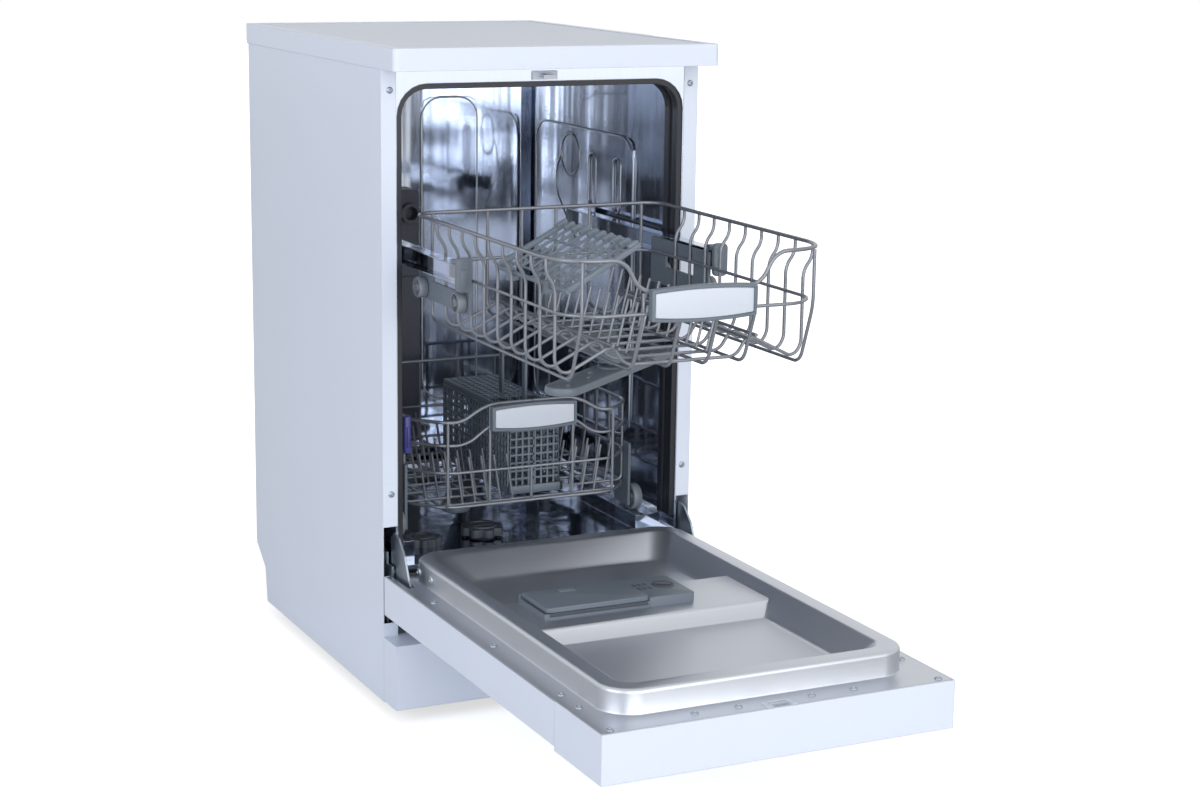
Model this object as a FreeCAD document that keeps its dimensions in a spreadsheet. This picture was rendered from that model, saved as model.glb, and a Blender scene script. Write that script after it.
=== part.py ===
import FreeCAD, Part
import Sketcher
import math
import os
from types import SimpleNamespace

V = FreeCAD.Vector

doc = FreeCAD.newDocument("Dishwasher")

# Driving dimensions in millimetres
SIZES = {
    "width": 448, "height": 860, "depth": 587, "worktop_thickness": 28, "worktop_rim": 12,
    "worktop_wall": 9, "worktop_recess": 2.5, "corner_round": 6, "side_inset": 3, "panel_sheet": 0.8,
    "post_setback": 52, "post_width": 20, "panel_bottom": 16, "rear_inset": 4, "notch_depth": 38,
    "notch_low": 66, "notch_high": 95, "hinge_height": 190, "hinge_slot_top": 250,
    "hinge_slot_bottom": 122, "hinge_inset": 16.4, "hinge_plate": 2.5, "hinge_play": 1.9, "hinge_pin": 4,
    "door_gap": 3, "door_thickness": 52, "door_sheet": 0.8, "panel_proud": 5, "control_length": 117,
    "control_wall": 2.5, "pan_rise": 29, "pan_inset": 31, "pan_near": 12, "pan_far": 39, "pan_corner": 40,
    "pan_lip": 24, "pan_edge": 4, "tray_slope_side": 26, "tray_slope_near": 42, "tray_slope_far": 18,
    "pan_sheet": 0.8, "step_near": 206, "step_far": 352, "step_rise": 17, "step_slope": 16,
    "latch_rise": 7, "tub_wall_gap": 21, "tub_rear_gap": 42, "tub_head": 19, "tub_bottom": 196,
    "ledge_height": 216.5, "tub_sheet": 0.8, "tub_corner": 40, "tub_low_corner": 14, "tub_rear_edge": 12,
    "mouth_depth": 40, "basin_gap": 38, "basin_rear_gap": 45, "emboss": 2, "gasket_width": 7,
    "gasket_depth": 36, "base_bottom": 22, "base_height": 86, "base_wall": 3, "apron_height": 150,
    "plinth_front": 8, "plinth_height": 86, "plinth_wall": 2, "foot_inset": 62, "foot_front": 80,
    "foot_rear_gap": 87, "foot_radius": 17, "stud_radius": 5, "fitting_height": 150, "wire": 4.2,
    "rim_wire": 5, "tine_wire": 3.2, "rack_travel": 445, "rack_home": 70, "rack_rear_gap": 35,
    "rim_gap": 28, "body_gap": 40, "rim_corner": 45, "floor_height": 516, "ring_rise": 72,
    "rim_rise": 134, "rim_dip": 38, "valley_rise": 6, "ridge_rise": 30, "bottom_setback": 30,
    "cross_pitch": 40, "upper_tine": 60, "rail_travel": 190, "rail_home": 92, "rail_rear_gap": 23,
    "rail_rise": 81, "rail_tall": 24, "rail_gap": 33, "rail_width": 17, "rail_sheet": 1.2,
    "roller_radius": 10.2, "roller_pin": 3, "spare_drop": 37, "spare_radius": 13, "handle_half": 67,
    "handle_rise": 61, "handle_tall": 42, "handle_wall": 4, "handle_bow": 3, "handle_deep": 10.4,
    "low_front": 82, "low_rear_gap": 63, "low_bay": 40, "low_chamfer": 45, "low_rim": 372, "low_mid": 304,
    "low_floor": 258, "low_handle_half": 61, "low_handle_low": 355, "low_handle_tall": 38, "low_tine": 61,
    "tine_lean": 10, "tine_pitch": 18, "row_pitch": 80, "wheel_radius": 18, "wheel_play": 0.3,
    "wheel_width": 12, "wheel_gap": 32, "rack_wheel_front": 44, "rack_wheel_rear": 56, "basket_width": 77,
    "basket_length": 230, "basket_tall": 116, "basket_x": 17, "basket_front": 106, "basket_wall": 2,
    "basket_bow": 70, "filter_x": -42, "filter_y": 150, "filter_radius": 29, "salt_gap": 32,
    "salt_y": 142, "salt_radius": 25, "arm_y": 310, "arm_half": 158, "upper_arm_half": 150,
    "tube_drop": 16, "tube_radius": 12, "port_rise": 70, "dispenser_gap": 56, "dispenser_long": 202,
    "dispenser_deep": 78, "dispenser_proud": 12, "dispenser_set": 22, "lid_long": 138, "shelf_width": 102,
    "shelf_length": 200, "shelf_tilt": 28, "shelf_rise": 97,
}

sheet = doc.addObject("Spreadsheet::Sheet", "Sizes")
for row, (alias, value) in enumerate(SIZES.items(), start=1):
    sheet.set(f"A{row}", alias)
    sheet.set(f"B{row}", str(value))
    sheet.setAlias(f"B{row}", alias)
doc.recompute()


class Size:
    """A sheet size or a sum of sizes: the text for an expression and its present value."""

    def __init__(self, text, value):
        self.text = text
        self.value = float(value)

    def __float__(self):
        return self.value

    def _join(self, other, sign, value, flip=False):
        other_text = other.text if isinstance(other, Size) else repr(float(other))
        first, second = (other_text, self.text) if flip else (self.text, other_text)
        return Size(f"({first} {sign} {second})", value)

    def __add__(self, other):
        return self._join(other, "+", self.value + float(other))

    def __radd__(self, other):
        return self._join(other, "+", float(other) + self.value, True)

    def __sub__(self, other):
        return self._join(other, "-", self.value - float(other))

    def __rsub__(self, other):
        return self._join(other, "-", float(other) - self.value, True)

    def __mul__(self, other):
        return self._join(other, "*", self.value * float(other))

    def __rmul__(self, other):
        return self._join(other, "*", float(other) * self.value, True)

    def __truediv__(self, other):
        return self._join(other, "/", self.value / float(other))

    def __neg__(self):
        return Size(f"(0 - {self.text})", -self.value)


s = SimpleNamespace(**{alias: Size(f"Sizes.{alias}", sheet.get(alias)) for alias in SIZES})

# Cabinet places that follow from the driving dimensions
worktop_low = s.height - s.worktop_thickness
side_half = s.width / 2 - s.side_inset
rear_y = s.depth - s.rear_inset
base_rear = rear_y - s.notch_depth - s.base_wall * 4
tub_half = side_half - s.tub_wall_gap
tub_back = s.depth - s.tub_rear_gap
tub_top = worktop_low - s.tub_head
basin_half = tub_half - s.basin_gap
basin_back = tub_back - s.basin_rear_gap
mouth_y = s.post_setback + s.panel_sheet
salt_x = s.salt_gap - basin_half

# Door places
hinge_y = s.post_setback
arm_x = side_half - s.hinge_inset
bracket_x = arm_x + s.hinge_plate + s.hinge_play
flange_z = s.hinge_height - s.door_gap
outer_z = flange_z - s.door_thickness
door_near = hinge_y - s.door_gap
door_far = hinge_y + s.hinge_height + s.door_gap - worktop_low
control_joint = door_far + s.control_length
crest_z = flange_z + s.pan_rise
pan_half = side_half - s.pan_inset
pan_near_y = hinge_y - s.pan_near
pan_far_y = door_far + s.pan_far
latch_y = hinge_y + s.hinge_height - tub_top - s.latch_rise
step_top = flange_z + s.step_rise
dispenser_top = step_top + s.dispenser_proud
dispenser_left = s.dispenser_gap - pan_half
dispenser_right = dispenser_left + s.dispenser_long
dispenser_rear = hinge_y - s.step_near - s.dispenser_set
lid_right = dispenser_left + s.lid_long

# Rack places
upper_front = s.rack_home - s.rack_travel
upper_back = upper_front + tub_back - s.rack_home - s.rack_rear_gap
rim_half = tub_half - s.rim_gap
body_half = tub_half - s.body_gap
ring_height = s.floor_height + s.ring_rise
rim_height = s.floor_height + s.rim_rise
port_height = s.floor_height + s.port_rise
tube_height = s.floor_height - s.tube_drop
hub_y = (upper_front + upper_back) / 2 + 5
rail_front = s.rail_home - s.rail_travel
rail_back = tub_back - s.rail_rear_gap - s.rail_travel
rail_height = s.floor_height + s.rail_rise
rail_inner = tub_half - s.rail_gap
rail_outer = rail_inner + s.rail_width
low_back = tub_back - s.low_rear_gap
low_half = tub_half - s.body_gap
low_bay = low_half - s.low_bay
axle_z = s.ledge_height + s.wheel_play + s.wheel_radius
wheel_inner = tub_half - s.wheel_gap

exported = []


def export(obj, label):
    """Give a finished object its node name and put it on the list of exports."""
    obj.Label = label
    exported.append(obj)
    return obj


def feature(label, shape):
    """A sub-part whose shape comes from Part functions on the sheet sizes."""
    obj = doc.addObject("Part::Feature", label)
    obj.Shape = shape
    return export(obj, label)


def block(x0, x1, y0, y1, z0, z1):
    """A plain box between two corners."""
    x0, x1, y0, y1, z0, z1 = (float(v) for v in (x0, x1, y0, y1, z0, z1))
    return Part.makeBox(x1 - x0, y1 - y0, z1 - z0, V(x0, y0, z0))


def rod(radius, start, end):
    """A round bar between two points."""
    a, b = V(*map(float, start)), V(*map(float, end))
    return Part.makeCylinder(float(radius), (b - a).Length, a, b - a)


def drum(radius, start, end, sides=12):
    """A many-sided bar between two points."""
    a, b = V(*map(float, start)), V(*map(float, end))
    spots = []
    for k in range(sides + 1):
        angle = 2 * math.pi * (k + 0.5) / sides
        spots.append(V(float(radius) * math.cos(angle), float(radius) * math.sin(angle), 0))
    shape = Part.Face(Part.makePolygon(spots)).extrude(V(0, 0, (b - a).Length))
    shape.Placement = FreeCAD.Placement(a, FreeCAD.Rotation(V(0, 0, 1), b - a))
    return shape


def both_sides(shape):
    """A shape and its mirror image across the middle plane."""
    return [shape, shape.mirror(V(0, 0, 0), V(1, 0, 0))]


def round_outline(x0, x1, z0, z1, radius, low_radius=None, chords=None):
    """A rounded rectangle in the XZ plane at y = 0; its corners are arcs, or a few chords each."""
    x0, x1, z0, z1, top = (float(v) for v in (x0, x1, z0, z1, radius))
    low = top if low_radius is None else float(low_radius)
    corners = [(x0, z0, low, 180), (x1, z0, low, 270), (x1, z1, top, 0), (x0, z1, top, 90)]
    arcs = []
    for x, z, r, first in corners:
        cx = x + r if x == x0 else x - r
        cz = z + r if z == z0 else z - r
        spots = []
        for k in range((chords or 2) + 1):
            angle = math.radians(first + 90 * k / (chords or 2))
            spots.append(V(cx + r * math.cos(angle), 0, cz + r * math.sin(angle)))
        arcs.append(spots)
    if chords:
        loop = [spot for spots in arcs for spot in spots]
        return Part.makePolygon(loop + [loop[0]])
    edges = []
    for index, spots in enumerate(arcs):
        edges.append(Part.Arc(*spots).toShape())
        edges.append(Part.makeLine(spots[2], arcs[(index + 1) % 4][0]))
    return Part.Wire(edges)


def upright_prism(x0, x1, z0, z1, y0, y1, radius, low_radius=None, chords=None):
    """A rounded rectangle in the XZ plane, extruded along Y."""
    wire = round_outline(x0, x1, z0, z1, radius, low_radius, chords)
    wire.translate(V(0, float(y0), 0))
    return Part.Face(wire).extrude(V(0, float(y1) - float(y0), 0))


def flat_wire(x0, x1, y0, y1, radius, z, chords=None):
    """A rounded rectangle lying in the XY plane at height z."""
    wire = round_outline(x0, x1, y0, y1, radius, None, chords)
    wire.rotate(V(0, 0, 0), V(1, 0, 0), -90)
    wire.translate(V(0, 0, float(z)))
    return wire


def flat_prism(x0, x1, y0, y1, radius, z0, z1, chords=None):
    """A rounded rectangle in the XY plane, extruded upwards."""
    return Part.Face(flat_wire(x0, x1, y0, y1, radius, z0, chords)).extrude(V(0, 0, float(z1) - float(z0)))


def taper(low, high):
    """A ruled solid between two flat outlines."""
    return Part.makeLoft([low, high], True, True)


def one_solid(shape):
    """The single solid of a boolean result, with split faces joined."""
    clean = shape.removeSplitter()
    return clean.Solids[0] if len(clean.Solids) == 1 else clean


def half_flat(thickness):
    """Half the side of a square bar with the same section area as a round wire."""
    return float(thickness) * math.sqrt(math.pi) / 4


def bent_wire(points, thickness, closed=False):
    """A wire run as a square bar: straight stretches with mitred bends."""
    path = [V(*map(float, p)) for p in points]
    count = len(path)
    stretches = count if closed else count - 1
    ways = [(path[(i + 1) % count] - path[i]).normalize() for i in range(stretches)]
    side = ways[0].cross(V(0, 0, 1))
    if side.Length < 0.2:
        side = ways[0].cross(V(0, 1, 0))
    side.normalize()
    other = ways[0].cross(side)
    reach = half_flat(thickness)
    corners = ((1, 1), (-1, 1), (-1, -1), (1, -1))
    ring = [path[0] + side * (a * reach) + other * (b * reach) for a, b in corners]

    def cut_plane(index):
        before = ways[(index - 1) % stretches] if closed or index > 0 else ways[0]
        after = ways[index % stretches] if closed or index < stretches else ways[-1]
        return (before + after).normalize()

    def slide(spots, way, index):
        normal = cut_plane(index)
        centre = path[index % count]
        return [p + way * ((centre - p).dot(normal) / way.dot(normal)) for p in spots]

    rings = [slide(ring, ways[0], 0)]
    for i in range(stretches):
        rings.append(slide(rings[-1], ways[i], (i + 1) % count if closed else i + 1))
    faces = []
    for i in range(stretches):
        near, far = rings[i], rings[0] if closed and i == stretches - 1 else rings[i + 1]
        for k in range(4):
            n = (k + 1) % 4
            faces.append(Part.Face(Part.makePolygon([near[k], near[n], far[n], far[k], near[k]])))
    if not closed:
        for spots in (rings[0], rings[-1]):
            faces.append(Part.Face(Part.makePolygon(spots + [spots[0]])))
    solid = Part.Solid(Part.Shell(faces))
    if solid.Volume < 0:
        solid.reverse()
    return solid


def weld(shapes):
    """Join crossing wires into one solid."""
    return one_solid(shapes[0].multiFuse(shapes[1:]))


def tine(x, y, z, lean, tall):
    """A leaning square pin that stands on a flat wire at height z."""
    reach = half_flat(s.tine_wire)
    x, y, z = float(x), float(y), float(z)
    foot = [V(x + a * reach, y + b * reach, z) for a, b in ((1, 1), (-1, 1), (-1, -1), (1, -1), (1, 1))]
    return Part.Face(Part.makePolygon(foot)).extrude(V(float(lean), 0, float(tall)))


def mats(basket, zones):
    """The flat wire mats of a basket, each a solid that meets its neighbours face to face."""
    solids = []
    for zone in zones:
        solids += basket.common(zone).Solids
    return solids


def mirrored(run):
    """A run of points from the middle outwards, joined with its mirror image."""
    return run + flipped(list(reversed(run)))


def flipped(run):
    """The mirror image of a run of points."""
    return [(-x, y, z) for x, y, z in run]


def origin_plane(body, role):
    """One of a body's own planes or axes, found by its role."""
    for item in body.Origin.OriginFeatures:
        if item.Role == role:
            return item
    raise ValueError(role)


def sketch_on(body, name, role, points, offset=None):
    """A closed outline of straight lines, each corner held by sheet expressions."""
    sketch = body.newObject("Sketcher::SketchObject", name)
    sketch.AttachmentSupport = [(origin_plane(body, role), "")]
    sketch.MapMode = "FlatFace"
    if offset is not None:
        sketch.setExpression("AttachmentOffset.Base.z", offset.text)
    count = len(points)
    spots = [V(float(a), float(b), 0) for a, b in points]
    for i in range(count):
        sketch.addGeometry(Part.LineSegment(spots[i], spots[(i + 1) % count]))
    for i in range(count):
        sketch.addConstraint(Sketcher.Constraint("Coincident", i, 2, (i + 1) % count, 1))
    for i, (a, b) in enumerate(points):
        for kind, axis, part in (("DistanceX", -2, a), ("DistanceY", -1, b)):
            if isinstance(part, Size):
                index = sketch.addConstraint(Sketcher.Constraint(kind, -1, 1, i, 1, part.value))
                sketch.setExpression(f"Constraints[{index}]", part.text)
            elif part:
                sketch.addConstraint(Sketcher.Constraint(kind, -1, 1, i, 1, float(part)))
            else:
                sketch.addConstraint(Sketcher.Constraint("PointOnObject", i, 1, axis))
    return sketch


def new_body(label):
    """An empty design body."""
    return doc.addObject("PartDesign::Body", label)


def pad(body, sketch, length):
    """Extrude a sketch by a sheet length."""
    item = body.newObject("PartDesign::Pad", sketch.Name + "Pad")
    item.Profile = sketch
    item.setExpression("Length", length.text)
    sketch.Visibility = False
    body.Tip = item
    return item


def carved(label, base, tools):
    """A design piece cut by other shapes on the list of objects."""
    cut = doc.addObject("Part::Cut", label)
    cut.Base = base
    cut.Tool = tools
    return cut


def joined(label, pieces):
    """Several objects of the document fused into one piece."""
    fusion = doc.addObject("Part::MultiFuse", label)
    fusion.Shapes = pieces
    return fusion


def box_object(name, x0, x1, y0, y1, z0, z1):
    """A box whose place and size follow the sheet."""
    item = doc.addObject("Part::Box", name)
    for axis, low in zip("xyz", (x0, y0, z0)):
        item.setExpression(f"Placement.Base.{axis}", low.text)
    for side, low, high in (("Length", x0, x1), ("Width", y0, y1), ("Height", z0, z1)):
        item.setExpression(side, (high - low).text)
    return item


def zero():
    """A zero that still counts as a sheet size."""
    return s.width * 0


# Worktop with a raised rim, and the panel that lies in it
def make_worktop():
    half, rim, wall = s.width / 2, s.worktop_rim, s.worktop_wall
    slab = flat_prism(-half, half, 0, s.depth, s.corner_round, worktop_low, s.height, 4)
    recess = flat_prism(-half + rim, half - rim, rim, s.depth - rim, s.corner_round,
                        s.height - s.worktop_recess, s.height + 1, 3)
    hollow = flat_prism(-half + wall, half - wall, wall, s.depth - wall, s.corner_round, worktop_low - 1,
                        s.height - wall - 1, 1)
    ribs = []
    for k in (1, 2, 3):
        y = s.depth * k / 4
        ribs.append(block(-half + wall - 1, half - wall + 1, y, y + 5, worktop_low + 2, s.height - wall))
    feature("worktop", one_solid(slab.cut(recess).cut(hollow).multiFuse(ribs)))
    edge = rim + 0.6
    feature("worktop_inlay", flat_prism(-half + edge, half - edge, edge, s.depth - edge, s.corner_round - 0.6,
                                        s.height - s.worktop_recess, s.height - 0.9, 3))


# Folded side panels with front posts, a rear notch and a slot for the hinge
def make_side_panel(label, hand):
    outer = side_half
    body = new_body(label + "Skin")
    outline = [
        (s.post_setback, s.panel_bottom), (rear_y - s.notch_depth - 8, s.panel_bottom),
        (rear_y - s.notch_depth, s.notch_low), (rear_y, s.notch_high), (rear_y, worktop_low),
        (s.post_setback, worktop_low),
    ]
    place = -outer if hand < 0 else outer - s.panel_sheet
    sketch = sketch_on(body, label + "Outline", "YZ_Plane", outline, place)
    pad(body, sketch, s.panel_sheet)
    inner_x, outer_x = (-outer, s.post_width - outer) if hand < 0 else (outer - s.post_width, outer)
    near, far, low = s.post_setback, s.post_setback + s.panel_sheet, s.panel_bottom
    posts = [
        box_object(label + "Post", inner_x, outer_x, near, far, s.hinge_slot_top, worktop_low),
        box_object(label + "Toe", inner_x, outer_x, near, far, low, s.hinge_slot_bottom),
        box_object(label + "Top", inner_x, outer_x, near, rear_y, worktop_low - s.panel_sheet, worktop_low),
    ]
    export(joined(label + "Folded", [body] + posts), label)


# Water inlet and drain places on the rear, as (node, x, radius)
FITTINGS = (("inlet_valve", 71 - side_half, 12), ("drain_outlet", side_half - 111, 10))


# Rear sheet with two pressed ribs and holes for the fittings
def make_rear_panel():
    face = rear_y + s.panel_sheet
    plate = block(-side_half, side_half, rear_y, face, s.notch_high + 4, worktop_low)
    for x in (-120, 60):
        plate = plate.fuse(upright_prism(x, x + 60, 300, worktop_low - 72, face, face + 2, 20, None, 3))
    for label, x, radius in FITTINGS:
        z = s.fitting_height
        plate = plate.cut(drum(radius + 4, (x, rear_y - 1, z), (x, rear_y + 4, z), 16))
    feature("rear_panel", one_solid(plate))


def foot_places():
    """The four places of the feet on the floor."""
    side = s.width / 2 - s.foot_inset
    return [(x, y) for x in (-side, side) for y in (s.foot_front, s.depth - s.foot_rear_gap)]


# Moulded base with a dark front apron, and the kick plate before it
def make_base():
    half = side_half - s.panel_sheet
    front, rear = s.post_setback + 8, base_rear
    low, wall = s.base_bottom, s.base_wall
    top = low + s.base_height
    tray = block(-half, half, front, rear, low, top)
    tray = tray.cut(block(-half + wall, half - wall, front + wall, rear - wall, low + wall, top + 1))
    apron = block(-half + 22, half - 22, front, front + wall, low, low + s.apron_height)
    ribs = [block(-half, half, y, y + wall, low, low + 30) for y in (front + 230, rear - 83)]
    bosses = [drum(15, (x, y, low - 6), (x, y, low + 24), 8) for x, y in foot_places()]
    body = tray.multiFuse([apron] + ribs + bosses)
    for x, y in foot_places():
        body = body.cut(drum(s.stud_radius + 0.2, (x, y, low - 7), (x, y, low + 20), 8))
    feature("base_tray", one_solid(body))

    front_y, low, wall = s.plinth_front, s.panel_bottom, s.plinth_wall
    plate = block(-side_half, side_half, front_y, front, low + wall, low + wall + s.plinth_height)
    hollow = block(-side_half + wall, side_half - wall, front_y + wall, front + 1, low, low + s.plinth_height)
    toe_x = -side_half + s.post_width + 1
    toe = block(-side_half - 1, toe_x, s.post_setback - 0.3, front + 1, 0, worktop_low)
    plate = plate.cut(hollow)
    for shape in both_sides(toe):
        plate = plate.cut(shape)
    feature("plinth", one_solid(plate))


# Screw feet: a pad, a hexagon and a stud, one of each at the corners
def make_feet():
    low = s.base_bottom - 6
    shapes = []
    for x, y in foot_places():
        disc = drum(s.foot_radius, (x, y, 0), (x, y, 8), 12)
        nut = drum(9, (x, y, 7), (x, y, low), 6)
        stud = drum(s.stud_radius, (x, y, low - 2), (x, y, s.base_bottom + 18), 8)
        shapes.append(one_solid(disc.multiFuse([nut, stud])))
    feature("levelling_feet", Part.makeCompound(shapes))


# Concrete block at the rear of the base that keeps the open machine on its feet
def make_counterweight():
    rear = base_rear - s.base_wall
    low = s.base_bottom + s.base_wall
    half = side_half - 36
    item = box_object("CounterBlock", -half, half, rear - 44, rear, low + 22, low + 104)
    notch = box_object("CounterNotch", zero() - 40, zero() + 40, rear - 60, rear - 30, low + 60, low + 130)
    export(carved("CounterCut", item, notch), "counterweight")


# Steel tub: a wrap with pressed fields, welded at the ledge to a floor with the sump basin
def make_tub():
    half, back, top = tub_half, tub_back, tub_top
    inner_y = mouth_y + s.mouth_depth
    t = float(s.tub_sheet)

    def cavity(grow):
        mouth = upright_prism(-half - grow, half + grow, s.tub_bottom - grow, top + grow, mouth_y,
                              inner_y + grow, s.tub_corner + grow, s.tub_low_corner + grow, 6)
        chamber = upright_prism(-half - grow, half + grow, s.ledge_height - grow, top + grow,
                                mouth_y + 1, back + grow, s.tub_low_corner + grow, None, 3)
        rear_edges = [e for e in chamber.Edges if e.BoundBox.YMin > float(back) + grow - 0.01]
        chamber = chamber.makeChamfer(float(s.tub_rear_edge) + grow * (2 - math.sqrt(2)), rear_edges)
        basin = flat_prism(-basin_half - grow, basin_half + grow, mouth_y + 1, basin_back + grow,
                           30 + grow, s.tub_bottom - grow, s.ledge_height + 30, 3)
        return mouth.multiFuse([chamber, basin])

    depth = s.emboss
    low, rear_high, side_high = s.ledge_height + 84, top - 61, top - 93
    fields, pressed = [], []
    for x0, x1 in ((28, 116), (-116, -28)):
        fields.append(upright_prism(x0, x1, low, rear_high, back - depth, back + 1, 14, None, 2))
        pressed.append(upright_prism(x0 + t, x1 - t, low + t, rear_high - t, back - depth + t, back + t + 1,
                                     14 - t, None, 2))
    near, far = mouth_y + 137, back - 35
    side = upright_prism(near, far, low, side_high, -half - 1, depth - half, 16, None, 2)
    hollow = upright_prism(near + t, far - t, low + t, top - 213, -half - t - 1, depth - half - t, 14,
                           None, 2)
    hollow.rotate(V(0, 0, 0), V(0, 0, 1), 90)
    pressed += both_sides(hollow)
    dial_y, dial_z = far - 119, top - 134
    dial = drum(33, (dial_y, -half - 2, dial_z), (dial_y, depth - half + 1, dial_z), 14)
    dial = dial.cut(drum(28, (dial_y, -half - 3, dial_z), (dial_y, depth - half + 2, dial_z), 14))
    side = side.cut(dial)
    for y in (far - 204, far - 282):
        side = side.cut(upright_prism(y, y + 24, top - 201, top - 125, -half - 2, depth - half + 1, 11.9,
                                      None, 2))
    side.rotate(V(0, 0, 0), V(0, 0, 1), 90)
    fields += both_sides(side)
    inside = cavity(0.0)
    for field in fields:
        inside = inside.cut(field)
    flange = upright_prism(-half - 3, half + 3, s.tub_bottom - 6, worktop_low - 1, mouth_y, mouth_y + t, 4,
                           None, 1)
    shell = cavity(t).fuse(flange).cut(inside)
    for shape in pressed:
        shell = shell.cut(shape)
    low, high = s.tub_bottom - 5, s.tub_bottom + 5
    for x, y, radius in ((s.filter_x, s.filter_y, s.filter_radius - 2), (salt_x, s.salt_y, s.salt_radius - 3),
                         (0, s.arm_y, 11.4)):
        shell = shell.cut(drum(radius, (x, y, low), (x, y, high), 12))
    below = block(-half - 9, half + 9, mouth_y - 9, back + 9, s.tub_bottom - 20, s.ledge_height)
    feature("tub", Part.makeCompound([one_solid(shell.cut(below)), one_solid(shell.common(below))]))


# Rubber seal on the sides and top of the mouth
def make_gasket():
    half, top, w = tub_half, tub_top, s.gasket_width
    front = mouth_y + s.tub_sheet + 1
    back = front + s.gasket_depth
    low = s.tub_bottom + 26
    outer = upright_prism(-half, half, low - 60, top, front, back, s.tub_corner + 1, None, 6)
    inner = upright_prism(-half + w, half - w, low - 80, top - w, front - 1, back + 1, s.tub_corner - w,
                          None, 6)
    groove = upright_prism(-half + w - 2, half - w + 2, low - 80, top - w + 2, front + 12, front + 24,
                           s.tub_corner - w + 2, None, 6)
    below = block(-half - 1, half + 1, front - 2, back + 2, low - 100, low)
    feature("tub_gasket", one_solid(outer.cut(inner).cut(groove).cut(below)))


# White hook on the cross bar that the door latch takes hold of
def make_striker():
    z = tub_top + s.latch_rise
    plate = block(-17, 17, mouth_y - 3, mouth_y, z - 5, z + 6)
    neck = block(-7, 7, mouth_y - 15, mouth_y - 2, z - 2, z + 2)
    lip = block(-7, 7, mouth_y - 15, mouth_y - 12, z - 3.5, z + 2)
    feature("latch_striker", one_solid(plate.multiFuse([neck, lip])))


# Wall guides that carry the rails, with a roller at the front and a fixed runner behind it
def make_guides():
    z, near = rail_height, s.rail_home
    wheel_y, runner_y = near + 14, near + 138
    inner, outer = rail_outer - 5.5, tub_half - s.emboss
    face = outer - 7.5
    bar = block(face, outer, near + 2, near + 156, z - 13, z + 13)
    seat = block(outer - 0.5, tub_half, near + 2, near + 90, z - 13, z + 13)
    pin = drum(s.roller_pin, (inner, wheel_y, z), (face + 0.5, wheel_y, z))
    runner = block(inner, face + 0.5, runner_y - 16, runner_y + 16, z - s.roller_radius, z + s.roller_radius)
    feature("rail_guides", Part.makeCompound(both_sides(one_solid(bar.multiFuse([seat, pin, runner])))))
    tyre = drum(s.roller_radius, (inner - 0.3, wheel_y, z), (face - 0.7, wheel_y, z), 14)
    tyre = tyre.cut(rod(s.roller_pin + 0.06, (inner - 9, wheel_y, z), (outer, wheel_y, z)))
    feature("guide_rollers", Part.makeCompound(both_sides(tyre)))


# Plastic duct on the rear wall with the docking port of the upper rack
def make_duct():
    back = tub_back - s.emboss
    z = port_height
    lower = upright_prism(-16, 16, s.ledge_height + 26, z - 94, back - 22, tub_back, 6, None, 2)
    upper = upright_prism(-16, 16, z - 116, z + 34, back - 18, tub_back, 6, None, 2)
    port = drum(15, (0, back - 29, z), (0, back - 10, z), 16)
    bore = drum(10, (0, back - 40, z), (0, back - 8, z), 16)
    feature("water_duct", one_solid(lower.multiFuse([upper, port]).cut(bore)))


# Sump with the spray-arm post, filter, salt cap and softener
def make_sump():
    floor = s.tub_bottom - s.tub_sheet
    fx, fy, fr = s.filter_x, s.filter_y, s.filter_radius
    base_top = s.base_bottom + s.base_wall
    cup = drum(fr + 6, (fx, fy, base_top), (fx, fy, floor - 13), 16)
    cup = cup.fuse(drum(fr + 24, (fx, fy, floor - 14), (fx, fy, floor), 16))
    cup = cup.cut(drum(fr - 1, (fx, fy, floor - 60), (fx, fy, floor + 1), 16))
    top = s.tub_bottom + 0.5
    crown = drum(fr + 1, (fx, fy, top), (fx, fy, top + 10.5), 20)
    crown = crown.cut(drum(fr - 8, (fx, fy, top + 5), (fx, fy, top + 12), 16))
    grip = block(fx - fr + 6, fx + fr - 6, fy - 4, fy + 4, top + 4, top + 15.5)
    mesh = drum(fr - 8, (fx, fy, top - 40), (fx, fy, top + 1), 16)
    pin = rod(5, (fx, fy, top - 46), (fx, fy, top - 39))
    feature("filter_insert", one_solid(crown.multiFuse([grip, mesh, pin])))

    sx, sy, sr = salt_x, s.salt_y, s.salt_radius
    neck, low = sr - 6, s.tub_bottom
    cap = drum(sr, (sx, sy, low + 0.4), (sx, sy, low + 9), 20)
    cap = cap.cut(drum(sr - 8, (sx, sy, low + 6), (sx, sy, low + 10), 16))
    bar = block(sx - sr + 6, sx + sr - 6, sy - 3, sy + 3, low + 5, low + 12)
    thread = drum(neck - 1, (sx, sy, low - 12), (sx, sy, low + 1), 16)
    pin = rod(5, (sx, sy, low - 15), (sx, sy, low - 11))
    feature("salt_cap", one_solid(cap.multiFuse([bar, thread, pin])))

    tank = block(sx - 40, sx + 40, sy - 44, sy + 60, base_top, floor)
    tank = tank.cut(drum(fr + 27, (fx, fy, base_top - 1), (fx, fy, floor + 1), 24))
    tank = tank.cut(drum(neck, (sx, sy, floor - 16), (sx, sy, floor + 1), 16))
    feature("softener", one_solid(tank))

    y = s.arm_y
    post = drum(10.8, (0, y, low - 14), (0, y, low + 27.7))
    post = post.fuse(drum(6, (0, y, low + 27), (0, y, low + 44)))
    channel = block(fx, fx + 50, fy + 33, y + 8, floor - 13, floor)
    feature("sump", one_solid(cup.multiFuse([post, channel])))


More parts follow.
